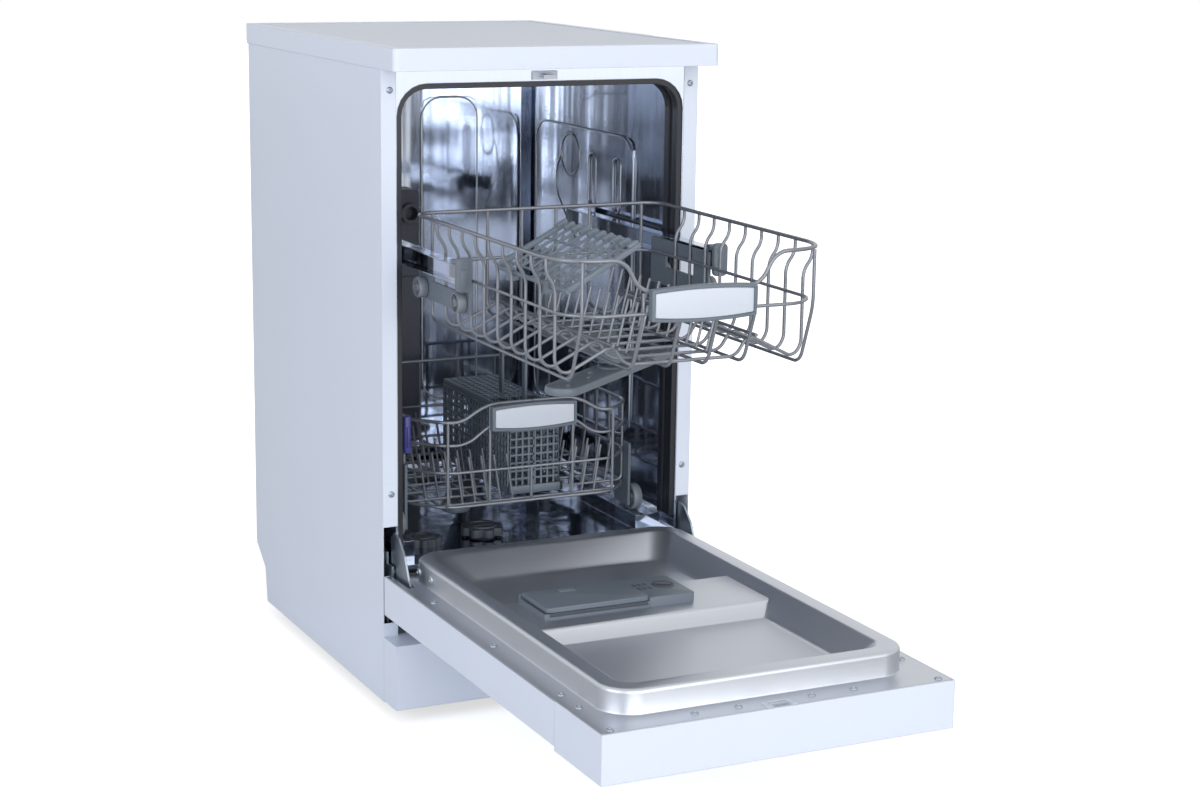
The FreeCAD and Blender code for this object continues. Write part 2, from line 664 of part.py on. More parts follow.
def blade(half, wide, tall):
    """A spray arm lying along X: a tapered, round-ended blade with a spine and raised jets."""
    edge = [(0, wide * 0.62), (half * 0.45, wide * 0.5), (half - wide * 0.36, wide * 0.36),
            (half - wide * 0.12, wide * 0.24), (half, wide * 0.08)]
    upper = [V(x, y, 0) for x, y in edge]
    lower = [V(p.x, -p.y, 0) for p in reversed(upper)]
    right = upper + lower
    left = [V(-p.x, -p.y, 0) for p in right[1:-1]]
    loop = right + left
    plate = Part.Face(Part.makePolygon(loop + [loop[0]])).extrude(V(0, 0, tall))
    spine = block(-half + 24, half - 24, -3, 3, tall - 1, tall + 2)
    jets = []
    for k in (-0.86, -0.62, -0.4, 0.4, 0.62, 0.86):
        place = (half * k, wide * 0.2 * (1 if k > 0 else -1))
        jets.append(drum(4.5, (*place, tall - 0.5), (*place, tall + 2.5), 6))
    return plate.multiFuse([spine] + jets)


# Lower spray arm on its post
def make_lower_arm():
    arm = blade(float(s.arm_half), 40.0, 11.0)
    arm = arm.fuse(drum(17, (0, 0, 0), (0, 0, 14), 16)).cut(rod(6.06, (0, 0, -5), (0, 0, 35)))
    arm.rotate(V(0, 0, 0), V(0, 0, 1), 62)
    arm.translate(V(0, float(s.arm_y), float(s.tub_bottom + 28)))
    feature("lower_spray_arm", one_solid(arm))


# Machinery in the base: wash pump with its heater, drain pump, inlet valve and drain outlet
def make_machinery():
    floor = s.base_bottom + s.base_wall
    y, z = 216, floor + 48
    pump = drum(38, (20, y, z), (120, y, z), 16).multiFuse([
        drum(30, (118, y, z), (176, y, z), 16), block(40, 110, y - 26, y + 26, floor, z),
        drum(14, (6, y, z), (22, y, z))])
    feature("wash_pump", one_solid(pump))
    y, z = 120, floor + 30
    drain = drum(22, (70, y, z), (150, y, z)).multiFuse([
        block(84, 136, y - 16, y + 16, floor, z), drum(9, (52, y, z), (72, y, z), 8)])
    feature("drain_pump", one_solid(drain))
    z = s.fitting_height
    for label, x, radius in FITTINGS:
        body = block(x - 22, x + 22, rear_y - 34, rear_y, z - 22, z + 22)
        neck = drum(radius, (x, rear_y - 1, z), (x, s.depth, z), 16)
        bore = drum(radius - 3, (x, rear_y - 12, z), (x, s.depth + 1, z), 16)
        feature(label, one_solid(body.fuse(neck).cut(bore)))


def hinge_slot(near, far, low, high):
    """The gap that a hinge arm needs in the door's sheets, on both sides."""
    return both_sides(block(arm_x - 2.1, arm_x + s.hinge_plate + 5.9, near, far, low, high))


# Outer door skin: a folded white pan, open towards the control panel
def make_door_skin():
    t = s.door_sheet
    far, near = control_joint, door_near
    skin = block(-side_half, side_half, far, near, outer_z, flange_z - s.pan_sheet)
    skin = skin.cut(block(-side_half + t, side_half - t, far - 1, near - t, outer_z + t, flange_z + 5))
    for shape in hinge_slot(door_near - 4, door_near + 2, flange_z - 26, flange_z + 2):
        skin = skin.cut(shape)
    feature("door_skin", one_solid(skin))


def latch_pocket(grow):
    """The slot that the striker enters when the door is shut."""
    across, along = 10 + grow, 6 + grow
    return block(-across, across, latch_y - along, latch_y + along, flange_z - 18 - grow, flange_z + 8)


# Stainless inner door: a flange plate with a raised hollow frame, a tray and a cross step
def make_liner():
    t = float(s.pan_sheet)
    near, far = pan_near_y, pan_far_y
    half, lip, edge = pan_half, s.pan_lip, float(s.pan_edge)
    side, inner, outer = s.tray_slope_side, s.tray_slope_near, s.tray_slope_far
    plate = block(-side_half + 1.2, side_half - 1.2, door_far + 3, door_near - 5, flange_z - t, flange_z)

    def shoulder(inset, low, top):
        solid = flat_prism(-half + inset, half - inset, far + inset, near - inset, s.pan_corner - inset,
                           low, top, 6)
        crest = [e for e in solid.Edges if e.BoundBox.ZMin > float(top) - 0.01]
        return solid.makeChamfer(edge - inset * (2 - math.sqrt(2)), crest)

    def tray(grow):
        top_x, low_x = half - lip + grow, half - lip - side + grow
        top_y = (far + lip - grow, near - lip + grow)
        low_y = (far + lip + outer - grow, near - lip - inner + grow)
        top = flat_wire(-top_x, top_x, *top_y, 26 + grow, crest_z, 4)
        low = flat_wire(-low_x, low_x, *low_y, 24 + grow, flange_z, 4)
        return taper(low, top)

    hollow = shoulder(t, flange_z, crest_z - t).cut(tray(t))
    frame = shoulder(0.0, flange_z, crest_z).cut(tray(0.0)).cut(hollow)

    reach = half - lip - 4
    rear, front, slope = hinge_y - s.step_near, hinge_y - s.step_far, s.step_slope

    def step(inset):
        low, high = flange_z, step_top - inset
        rise = [(rear + slope - inset, low), (rear - inset, high), (front + inset, high),
                (front - slope + inset, low)]
        spots = [V(float(-reach + inset), float(a), float(b)) for a, b in rise]
        return Part.Face(Part.makePolygon(spots + [spots[0]])).extrude(V(2 * float(reach - inset), 0, 0))

    ridge = step(0.0).common(tray(0.0)).cut(step(t))
    well = block(dispenser_left + 6, dispenser_right - 6, dispenser_rear - s.dispenser_deep + 6,
                 dispenser_rear - 6, flange_z + 0.1, step_top + 1)
    under = flat_prism(-half + t, half - t, far + t, near - t, s.pan_corner - t, flange_z - t - 1,
                       flange_z + 0.5, 6)
    floor_x = half - lip - side + t
    floor = flat_prism(-floor_x, floor_x, far + lip + outer - t, near - lip - inner + t, 24 + t,
                       flange_z - t - 2, flange_z + 1, 4)
    liner = plate.cut(under.cut(floor)).multiFuse([frame, ridge.cut(well)])
    liner = liner.cut(latch_pocket(1.5))
    for shape in hinge_slot(door_near - 64, door_near + 2, flange_z - 5, flange_z + 1):
        liner = liner.cut(shape)
    feature("door_liner", one_solid(liner))


# Control panel at the top of the door, with a grip pocket and openings for the buttons
BUTTONS = ("power", "program", "start")


def button_places():
    """The centre line of each button, as (name, x, y)."""
    return [(name, 60 + 34 * index, control_joint - 30) for index, name in enumerate(BUTTONS)]


def make_control_panel():
    w = s.control_wall
    low, high = outer_z - s.panel_proud, flange_z
    far, near = door_far, control_joint
    shell = block(-side_half, side_half, far, near, low, high)
    shell = shell.cut(block(-side_half + w, side_half - w, far + w, near - w, low + w, high + 1))
    lid_edge = block(-side_half + 1.1, side_half - 1.1, far + 2.9, near + 1, high - s.pan_sheet, high + 1)
    shell = shell.cut(lid_edge)
    grip = block(-70, 70, far + 34, far + 62, low - 1, low + 20)
    pocket_wall = block(-70 - w, 70 + w, far + 34 - w, far + 62 + w, low, low + 20 + w)
    shell = shell.fuse(pocket_wall).cut(grip)
    for name, x, y in button_places():
        shell = shell.cut(drum(7.4, (x, y, low - 1), (x, y, low + w + 1), 16))
    feature("control_panel", one_solid(shell))
    for name, x, y in button_places():
        cap = drum(7, (x, y, low - 1.5), (x, y, low + 5), 16)
        collar = drum(9, (x, y, low + w + 0.2), (x, y, low + 5), 16)
        feature(f"button_{name}", one_solid(cap.fuse(collar)))
    board = block(-60, side_half - 31, near - 52, near - 8, low + 12, low + 14)
    posts = [block(x, x + 6, near - 50, near - 44, low + w, low + 12.5) for x in (-56, side_half - 43)]
    chips = [block(x, x + 24, near - 46, near - 26, low + 14, low + 24) for x in (-40, 60, 140)]
    feature("control_board", one_solid(board.multiFuse(posts + chips)))


# White latch box behind the flange of the door
def make_latch():
    y = latch_y
    outer = block(-20, 20, y - 5.5, y + 12, flange_z - 24, flange_z - s.pan_sheet)
    nose = block(-11.3, 11.3, y - 5.5, y + 7.3, flange_z - 4, flange_z + 0.4)
    feature("door_latch", one_solid(outer.fuse(nose).cut(latch_pocket(0.0))))


# Detergent dispenser with a sprung lid and a rinse-aid cap
def make_dispenser():
    left, right, rear, top = dispenser_left, dispenser_right, dispenser_rear, dispenser_top
    front = rear - s.dispenser_deep
    body = flat_prism(left, right, front, rear, 7, step_top, top - 2, 3)
    body = body.fuse(block(left + 7, right - 7, front + 7, rear - 7, flange_z, step_top + 1))
    raised = flat_prism(lid_right + 1.5, right - 1, front + 1, rear - 1, 6, top - 3, top, 3)
    cup = flat_prism(left + 12, lid_right - 24, front + 12, rear - 18, 6, flange_z + 4, top, 2)
    body = body.fuse(raised).cut(cup)
    knob_x, knob_y = right - 23, rear - 36
    body = body.cut(drum(14.5, (knob_x, knob_y, top - 6), (knob_x, knob_y, top + 1), 24))
    for k in range(4):
        x = lid_right + 5 + 4.5 * k
        body = body.cut(block(x, x + 2.2, rear - 44, rear - 20, top - 1.5, top + 1))
    feature("dispenser_body", one_solid(body))

    lid = flat_prism(left + 2, lid_right, front + 1, rear - 9, 6, top - 1.8, top + 1, 3)
    lip = block(left + 10, lid_right - 10, front - 1.5, front - 0.3, top - 4, top + 0.5)
    barrel = rod(2.6, (left + 10, rear - 8, top + 0.8), (lid_right - 8, rear - 8, top + 0.8))
    web = block(left + 10, lid_right - 10, front - 0.5, front + 3, top - 1.8, top + 0.5)
    feature("dispenser_lid", one_solid(lid.multiFuse([lip, web, barrel])))

    cap = rod(14, (knob_x, knob_y, top - 5.8), (knob_x, knob_y, top + 0.6))
    bar = block(knob_x - 11, knob_x + 11, knob_y - 3, knob_y + 3, top, top + 4)
    feature("rinse_aid_cap", one_solid(cap.fuse(bar)))


# Hinge arms on the door, and the brackets with their pins on the base
def make_hinges():
    y, z = hinge_y, s.hinge_height
    tail = flange_z - s.pan_sheet
    body = new_body("HingePlate")
    outline = [(y + 9, z - 9), (y + 9, z + 44), (y - 2, z + 53), (y - 18, z + 49), (y - 38, z + 30),
               (y - 52, z + 2), (y - 58, tail), (y - 150, tail), (y - 150, z - 24), (y - 6, z - 18)]
    sketch = sketch_on(body, "HingeSide", "YZ_Plane", outline, arm_x)
    pad(body, sketch, s.hinge_plate)
    eye = doc.addObject("Part::Cylinder", "HingeEye")
    eye.setExpression("Radius", (s.hinge_pin + 0.05).text)
    eye.setExpression("Height", (s.hinge_plate * 4).text)
    eye.Placement.Rotation = FreeCAD.Rotation(V(0, 1, 0), 90)
    for axis, part in zip("xyz", (arm_x - s.hinge_plate, y, z)):
        eye.setExpression(f"Placement.Base.{axis}", part.text)
    right = carved("HingeCut", body, eye)
    left = doc.addObject("Part::Mirroring", "HingeMirror")
    left.Source = right
    left.Normal = V(1, 0, 0)
    pair = doc.addObject("Part::Compound", "HingePair")
    pair.Links = [right, left]
    export(pair, "hinge_arms")

    half = side_half - s.panel_sheet
    base = s.base_bottom + s.base_wall
    x0, x1 = bracket_x, bracket_x + 3
    plate = block(x0, x1, y + 12, y + 70, base, z + 24).fuse(block(x0, x1, y - 7, y + 20, z - 9, z + 9))
    foot = block(x0, half - s.base_wall, y + 12, y + 70, base, base + 3)
    pin = drum(s.hinge_pin, (arm_x - 1, y, z), (x0 + 1, y, z))
    tie = block(x0 + 2, half, y + 30, y + 60, z + 10, z + 22)
    feature("hinge_brackets", Part.makeCompound(both_sides(one_solid(plate.multiFuse([foot, pin, tie])))))


# Steel rails with end clips
def make_rails():
    z, tall, sheet_t = rail_height, s.rail_tall, s.rail_sheet
    front, back = rail_front, rail_back
    web_x = (rail_inner + rail_outer) / 2
    top = block(rail_inner, rail_outer, front, back, z + tall / 2 - sheet_t, z + tall / 2)
    low = block(rail_inner, rail_outer, front, back, z - tall / 2, z - tall / 2 + sheet_t)
    web = block(web_x - sheet_t / 2, web_x + sheet_t / 2, front, back, z - tall / 2, z + tall / 2)
    feature("rails", Part.makeCompound(both_sides(one_solid(web.multiFuse([top, low])))))
    plate = upright_prism(rail_inner - 2, rail_outer + 1, z - 21, z + 21, front - 7, front, 4, None, 2)
    hook = block(rail_inner - 2, rail_outer + 1, front - 7, front + 14, z + tall / 2, z + 18)
    stop = upright_prism(rail_inner - 1, rail_outer + 1, z - 13, z + 13, back, back + 4, 3, None, 1)
    feature("rail_end_clips", Part.makeCompound(both_sides(one_solid(plate.fuse(hook))) + both_sides(stop)))


# Upper rack: welded wires with a stepped body, a waved floor and a dipped front rim
def make_upper_rack():
    front, back = upper_front, upper_back
    rim, low, w, ring_z = rim_height, s.floor_height, s.wire, ring_height
    half, body, corner = rim_half, body_half, s.rim_corner
    valley, dip = low + s.valley_rise, rim - s.rim_dip
    rim_run = [(0.8, front, dip), (76, front, dip), (97, front, rim - 3)]
    for turn in (0, 30, 60, 90):
        across, along = math.sin(math.radians(turn)), math.cos(math.radians(turn))
        rim_run.append((half - corner + corner * across, front + corner - corner * along, rim))
    rim_run += [(half, back - 16, rim), (half - 16, back, rim)]
    wires = [bent_wire(mirrored(rim_run), s.rim_wire)]
    bend = 30
    ring = [(24, back, ring_z), (body - 14, back, ring_z), (body, back - 14, ring_z),
            (body, front + bend, ring_z), (body - bend, front, ring_z)]
    wires.append(bent_wire(mirrored(ring), w))

    ridge_x, valley_x, gutter_x = body * 0.55, body * 0.45, body - 12
    cross = [(half, rim - 0.5), (half, rim - 17), (body, rim - 32), (body, low + 12), (gutter_x, low),
             (ridge_x, low + s.ridge_rise), (valley_x, valley)]
    first = front + s.bottom_setback + 15
    count = int((float(back - front) - 90) / float(s.cross_pitch)) + 1
    for k in range(count):
        wires.append(bent_wire(mirrored([(x, first + s.cross_pitch * k, z) for x, z in cross]), w))

    lay = w * 0.8
    foot = front + s.bottom_setback
    for x, z, top in ((gutter_x, low, rim), (valley_x, valley, dip), (valley_x / 3, valley, dip)):
        run = [(x, back, rim), (x, back, z + 6), (x, back - 8, z - lay), (x, foot + 4, z - lay),
               (x, foot - 6, z + 4), (x, front + 1, ring_z - 4), (x, front + 1, top - 0.5)]
        wires += [bent_wire(run, w), bent_wire(flipped(run), w)]

    far, wall, shelf = float(half) * 2, body - 4, valley_x + 1
    toe, bow, tail, sill = front + 8, front + 41, back - 14, ring_z - 18
    zones = [block(-far, far, front - 9, toe, sill, rim + 9),
             block(-far, far, front - 9, foot - 6, low - 20, sill),
             block(-far, far, foot - 6, bow, low - 20, sill),
             block(-far, far, tail, back + 9, low - 20, rim + 9),
             block(-shelf, shelf, bow, tail, low - 20, sill)]
    knee = front + bend + 1.5
    zones += both_sides(block(body - 40, far, toe, knee, sill, rim + 9))
    zones += both_sides(block(body - 40, far, knee, bow, sill, rim + 9))
    zones += both_sides(block(shelf, wall, bow, tail, low - 20, sill))
    zones += both_sides(block(wall, far, bow, tail, low - 20, rim + 9))
    solids = mats(weld(wires), zones)

    seat = valley + half_flat(w) + half_flat(s.tine_wire)
    start, pitch = first + 20, s.cross_pitch * 0.625
    for x in (body * -0.3, body * 0.275):
        solids.append(bent_wire([(x, start - 10, seat), (x, start + pitch * 11 + 10, seat)], s.tine_wire))
        top = seat + half_flat(s.tine_wire)
        solids += [tine(x, start + pitch * k, top, s.upper_tine / 4, s.upper_tine) for k in range(12)]
    feature("upper_rack_basket", Part.makeCompound(solids))


def barrel_plate(half, low, high, bow, y0, y1, corner):
    """A plate that faces the front, with bowed upper and lower edges and cut corners."""
    half, low, high, y0, y1 = (float(v) for v in (half, low, high, y0, y1))
    steps = 6
    edge = []
    for k in range(steps + 1):
        x = (half - corner) * (2 * k / steps - 1)
        edge.append((x, bow * (1 - (x / half) ** 2)))
    spots = [V(-half, y0, high - corner)] + [V(x, y0, high + rise) for x, rise in edge]
    spots += [V(half, y0, high - corner), V(half, y0, low + corner)]
    spots += [V(x, y0, low - rise) for x, rise in reversed(edge)] + [V(-half, y0, low + corner)]
    return Part.Face(Part.makePolygon(spots + [spots[0]])).extrude(V(0, y1 - y0, 0))


# Rack handles: a grey frame on the front wires with a white panel set into it
def make_handle(prefix, front, half, low, tall, wire):
    wall, bow = float(s.handle_wall), float(s.handle_bow)
    seat = front - half_flat(wire) - 0.1
    face = seat - s.handle_deep
    low, high = low + bow, low + tall - bow
    outer = barrel_plate(half, low, high, bow, face, seat, 4)
    pocket = barrel_plate(half - wall, low + wall, high - wall, bow, face - 1, face + 7, 3)
    feature(prefix + "_handle_frame", one_solid(outer.cut(pocket)))
    gap = wall + 0.3
    inner = barrel_plate(half - gap, low + gap, high - gap, bow, face + 1.2, face + 7, 3)
    feature(prefix + "_handle_panel", inner)


def make_handles():
    low = s.floor_height + s.handle_rise
    make_handle("upper", upper_front, s.handle_half, low, s.handle_tall, s.rim_wire)
    make_handle("lower", s.low_front, s.low_handle_half, s.low_handle_low, s.low_handle_tall, s.rim_wire)


# Roller carriers on the sides of the upper rack, their rail rollers and the second set below
def make_rack_rollers():
    back_y, front_y = upper_back - 20, upper_front + 295
    z, drop = rail_height, rail_height - s.spare_drop
    face = body_half + half_flat(s.wire) + 0.3
    plate = block(face, face + 3.3, front_y - 16, back_y + 17, drop - 14, z + 9)
    plate = plate.cut(block(face - 2, face + 6, front_y + 24, back_y - 24, drop + 10, z - 8))
    pins = []
    for y in (front_y, back_y):
        pins.append(drum(s.roller_pin, (face + 3, y, z), (rail_inner + 7, y, z)))
        pins.append(drum(s.roller_pin, (face + 3, y, drop), (rail_inner + 11, y, drop)))
    feature("roller_carriers", Part.makeCompound(both_sides(one_solid(plate.multiFuse(pins)))))
    bore = s.roller_pin + 0.06
    for place, y in (("front", front_y), ("rear", back_y)):
        tyre = drum(s.roller_radius, (rail_inner + 0.4, y, z), (rail_inner + 6.8, y, z), 14)
        tyre = tyre.cut(rod(bore, (rail_inner - 9, y, z), (rail_outer, y, z)))
        feature("rail_rollers_" + place, Part.makeCompound(both_sides(tyre)))
        wheel = drum(s.spare_radius, (face + 4, y, drop), (rail_inner + 10.8, y, drop), 14)
        wheel = wheel.cut(rod(bore, (rail_inner - 9, y, drop), (rail_outer, y, drop)))
        feature("lower_rollers_" + place, Part.makeCompound(both_sides(wheel)))


# Feed tube under the upper rack, from the docking mouth to the hub, and its spray arm
def make_upper_arm():
    r, z = s.tube_radius, tube_height
    rise_y = upper_back - 33
    route = [(0, upper_back - 1, port_height), (0, rise_y, port_height), (0, rise_y, z), (0, hub_y, z)]
    tube = bent_wire(route, r * 2).multiFuse([
        drum(r + 4, (0, hub_y, z - r), (0, hub_y, z + 6), 16), drum(5, (0, hub_y, z - r - 22), (0, hub_y, z)),
        drum(9, (0, hub_y, z - r - 22), (0, hub_y, z - r - 18))])
    wire_low = s.floor_height + s.valley_rise - s.wire * 0.8 - half_flat(s.wire)
    for y in (rise_y - 50, hub_y + 40):
        tube = tube.fuse(block(-27, 27, y, y + 8, z + r - 5, wire_low))
    tube = tube.cut(drum(r - 3, (0, upper_back, port_height), (0, rise_y, port_height)))
    feature("feed_tube", one_solid(tube))
    arm = blade(float(s.upper_arm_half), 36.0, 9.0)
    arm = arm.fuse(drum(13, (0, 0, 0), (0, 0, 13), 16)).cut(rod(5.06, (0, 0, -20), (0, 0, 40)))
    arm.rotate(V(0, 0, 0), V(0, 0, 1), 38)
    arm.translate(V(0, float(hub_y), float(z - r - 17)))
    feature("upper_spray_arm", one_solid(arm))


# Cup shelf that clips over the side wire and folds up
def make_cup_shelf():
    x, z = 9 - body_half, s.floor_height + s.shelf_rise
    near = upper_front + 30
    wide, long = float(s.shelf_width), float(s.shelf_length)
    plate = flat_prism(8, wide, 0, long, 6, -2, 2, 2)
    slots = 9
    step = (long - 16) / slots
    for k in range(slots):
        for a, b in ((16, wide / 2), (wide / 2 + 5, wide - 7)):
            plate = plate.cut(block(a, b, 8 + step * k + 2.5, 8 + step * (k + 1) - 2.5, -3, 3))
    bar = drum(3, (0, 14, 0), (0, long - 14, 0))
    lugs = [block(-1, 12, y, y + 10, -2, 2) for y in (16, long / 2 - 5, long - 26)]
    lip = block(wide - 3, wide, 6, long - 6, -2, 7)
    shelf = one_solid(plate.multiFuse([bar, lip] + lugs))
    shelf.rotate(V(0, 0, 0), V(0, 1, 0), -float(s.shelf_tilt))
    shelf.translate(V(float(x), float(near), float(z)))
    feature("cup_shelf", shelf)
    clips = []
    for y in (near + 44, near + 146):
        clip = block(half_flat(s.wire) - body_half, x + 5, y, y + 10, z - 9, z + 6)
        clip = clip.cut(rod(3.3, (x, y - 1, z), (x, y + 11, z)))
        clips.append(one_solid(clip.cut(block(x, x + 6, y - 1, y + 11, z - 1, z + 8))))
    feature("shelf_clips", Part.makeCompound(clips))


# Lower rack: welded wires, a front bay that rises to the handle and rows of plate tines
def make_lower_rack():
    front, back, half, w = s.low_front, low_back, low_half, s.wire
    rim, mid, low, bay = s.low_rim, s.low_mid, s.low_floor, low_bay
    brow = s.low_handle_low + s.low_handle_tall
    side = front + s.low_chamfer
    grip, foot = s.low_handle_half + 3, bay - 20
    rim_run = [(0.8, front, brow), (grip, front, brow), (foot, front, rim), (bay, front, rim),
               (half, side, rim), (half, back - 14, rim), (half - 14, back, rim)]
    wires = [bent_wire(mirrored(rim_run), s.rim_wire)]
    second = [(0.8, front, brow - 27), (grip - 6, front, brow - 27), (foot - 8, front, rim - 31),
              (bay, front, rim - 31), (half, side, rim - 31), (half, side + 32, rim - 31)]
    wires += [bent_wire(second, w), bent_wire(flipped(second), w)]
    for z in (mid, low):
        ring = [(bay, front, z), (half, side, z), (half, back - 14, z), (half - 14, back, z)]
        wires.append(bent_wire(mirrored(ring), w, closed=True))
    first = side + 8
    count = int((float(back - first) - 30) / float(s.cross_pitch)) + 1
    for k in range(count):
        y = first + s.cross_pitch * k
        wires.append(bent_wire(mirrored([(half, y, rim - 0.5), (half, y, low + 5), (half - 5, y, low)]), w))
    brace_y = front + 13
    wires.append(bent_wire([(-bay + 0.5, brace_y, low), (bay - 0.5, brace_y, low)], w))
    lay = w * 0.8
    for x, top in ((bay - 0.5, rim), (bay / 2, brow), (zero(), mid)):
        run = [(x, back, rim - 0.5), (x, back, low + 4), (x, back - 6, low - lay), (x, front + 6, low - lay),
               (x, front, low + 4), (x, front, top - 0.5)]
        wires += [bent_wire(run, w), bent_wire(flipped(run), w)] if float(x) else [bent_wire(run, w)]

    far, cut, edge, tail = float(half) * 2, low + half_flat(w) + 0.3, bay + 3, back - 16
    zones = [block(-far, far, front - 9, back + 9, low - 20, cut),
             block(-far, far, tail, back + 9, cut, brow + 9),
             block(-edge, edge, front - 9, front + 6, cut, brow + 9)]
    zones += both_sides(block(edge, far, front - 9, side + 1, cut, brow + 9))
    zones += both_sides(block(half - 10, far, side + 1, tail, cut, brow + 9))
    solids = mats(weld(wires), zones)

    seat, lean = low + half_flat(w), s.tine_lean
    left = [31 - half + s.tine_pitch * k for k in range(6)]
    right = [half - 98 + s.tine_pitch * k for k in range(5)]
    rows = [(brace_y, left[1:] + [left[-1] + s.tine_pitch], right[:3])]
    rows += [(first + s.row_pitch * k, left, right) for k in range((count + 1) // 2)]
    for y, left_row, right_row in rows:
        solids += [tine(x, y, seat, -lean, s.low_tine) for x in left_row]
        solids += [tine(x, y, seat, lean, s.low_tine) for x in right_row]
    feature("lower_rack_basket", Part.makeCompound(solids))


# Wheel carriers of the lower rack and its wheel pairs
def make_lower_wheels():
    places = (("front", s.low_front + s.rack_wheel_front), ("rear", low_back - s.rack_wheel_rear))
    inner = low_half + half_flat(s.wire)
    outer_x = wheel_inner + s.wheel_width
    carriers = []
    for place, y in places:
        plate = block(inner, inner + 3.6, y - 8, y + 34, axle_z - 10, s.low_mid + 8)
        pin = drum(4, (inner + 1, y, axle_z), (outer_x + 1, y, axle_z))
        carriers += both_sides(one_solid(plate.fuse(pin)))
        wheel = drum(s.wheel_radius, (wheel_inner, y, axle_z), (outer_x, y, axle_z), 18)
        wheel = wheel.cut(rod(4.06, (inner, y, axle_z), (outer_x + 9, y, axle_z)))
        feature("rack_wheels_" + place, Part.makeCompound(both_sides(wheel)))
    feature("wheel_carriers", Part.makeCompound(carriers))


# Cutlery basket: slotted plates, partitions, a lattice over the rear cells and a bow handle
def make_cutlery_basket():
    x0, x1 = s.basket_x - s.basket_width / 2, s.basket_x + s.basket_width / 2
    y0, y1 = s.basket_front, s.basket_front + s.basket_length
    z0 = s.low_floor + half_flat(s.wire) + 0.1
    z1 = z0 + s.basket_tall
    wall, mid = s.basket_wall, s.basket_x
    low, high = z0 + 12, z1 - 16
    floor = block(x0, x1, y0, y1, z0, z0 + wall)
    for k in range(3):
        for x in (x0 + 10, mid + 8):
            y = y0 + 14 + 72 * k
            floor = floor.cut(block(x, x + 20, y, y + 52, z0 - 1, z0 + wall + 0.5))
    base = z0 + wall
    long_wall = block(x0, x0 + wall, y0, y1, base, z1)
    pitch = (s.basket_length - 20) / 8
    for k in range(8):
        y = y0 + 14 + pitch * k
        long_wall = long_wall.cut(block(x0 - 1, x0 + wall + 1, y, y + pitch - 8, low, high))
    end_wall = block(x0 + wall, x1 - wall, y0, y0 + wall, base, z1)
    for k in range(3):
        x = x0 + 12 + 19 * k
        end_wall = end_wall.cut(block(x, x + 14, y0 - 1, y0 + wall + 1, low, high))
    other_wall, other_end = long_wall.copy(), end_wall.copy()
    other_wall.translate(V(float(s.basket_width - wall), 0, 0))
    other_end.translate(V(0, float(s.basket_length - wall), 0))
    solids = [floor, long_wall, other_wall, end_wall, other_end]
    inner0, inner1 = y0 + wall, y1 - wall
    third = s.basket_length / 3
    ribs = (y0 + third, y0 + third * 2)
    for y in ribs:
        solids.append(block(x0 + wall, x1 - wall, y, y + 2, base, z1 - 12))
    for near, far in ((inner0, ribs[0]), (ribs[0] + 2, ribs[1]), (ribs[1] + 2, inner1)):
        solids.append(block(mid - 1, mid + 1, near, far, base, z1 - 12))
    lattice = [block(x0 + wall, x1 - wall, ribs[0] + 8 + 18 * k, ribs[0] + 11 + 18 * k, z1 - 5, z1 - 1)
               for k in range(8)]
    lattice += [block(x, x + 2.5, ribs[0] + 8, inner1, z1 - 5, z1 - 1) for x in (x0 + 18, x1 - 20)]
    solids.append(weld(lattice))
    leg, top = 3.5, z1 + s.basket_bow
    legs = (y0 + third / 2, y1 - third * 1.5)
    for y in legs:
        solids.append(block(mid - leg, mid + leg, y - leg, y + leg, z1 - 12, top - leg))
    solids.append(block(mid - leg, mid + leg, legs[0] - leg, legs[1] + leg, top - leg, top + leg))
    feature("cutlery_basket", Part.makeCompound(solids))


for maker in (make_worktop, make_rear_panel, make_base, make_feet, make_counterweight, make_tub, make_gasket,
              make_striker, make_guides, make_duct, make_sump, make_lower_arm, make_machinery,
              make_door_skin, make_liner, make_control_panel, make_latch, make_dispenser, make_hinges,
              make_rails, make_upper_rack, make_handles, make_rack_rollers, make_upper_arm,
              make_cup_shelf, make_lower_rack, make_lower_wheels, make_cutlery_basket):
    maker()
make_side_panel("side_panel_left", -1)
make_side_panel("side_panel_right", 1)
doc.recompute()

# Nothing leaves here unless every object is sound
for obj in doc.Objects:
    if "Invalid" in obj.State or "Error" in obj.State:
        raise RuntimeError(f"{obj.Label}: {obj.State}")
for obj in exported:
    if obj.Shape.isNull() or not obj.Shape.isValid() or not obj.Shape.Solids:
        raise RuntimeError(f"{obj.Label}: shape is not sound")

os.makedirs("parts", exist_ok=True)
for obj in exported:
    obj.Shape.exportStep(f"parts/{obj.Label}.step")
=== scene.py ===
import math

import bmesh
import bpy
from mathutils import Matrix, Vector


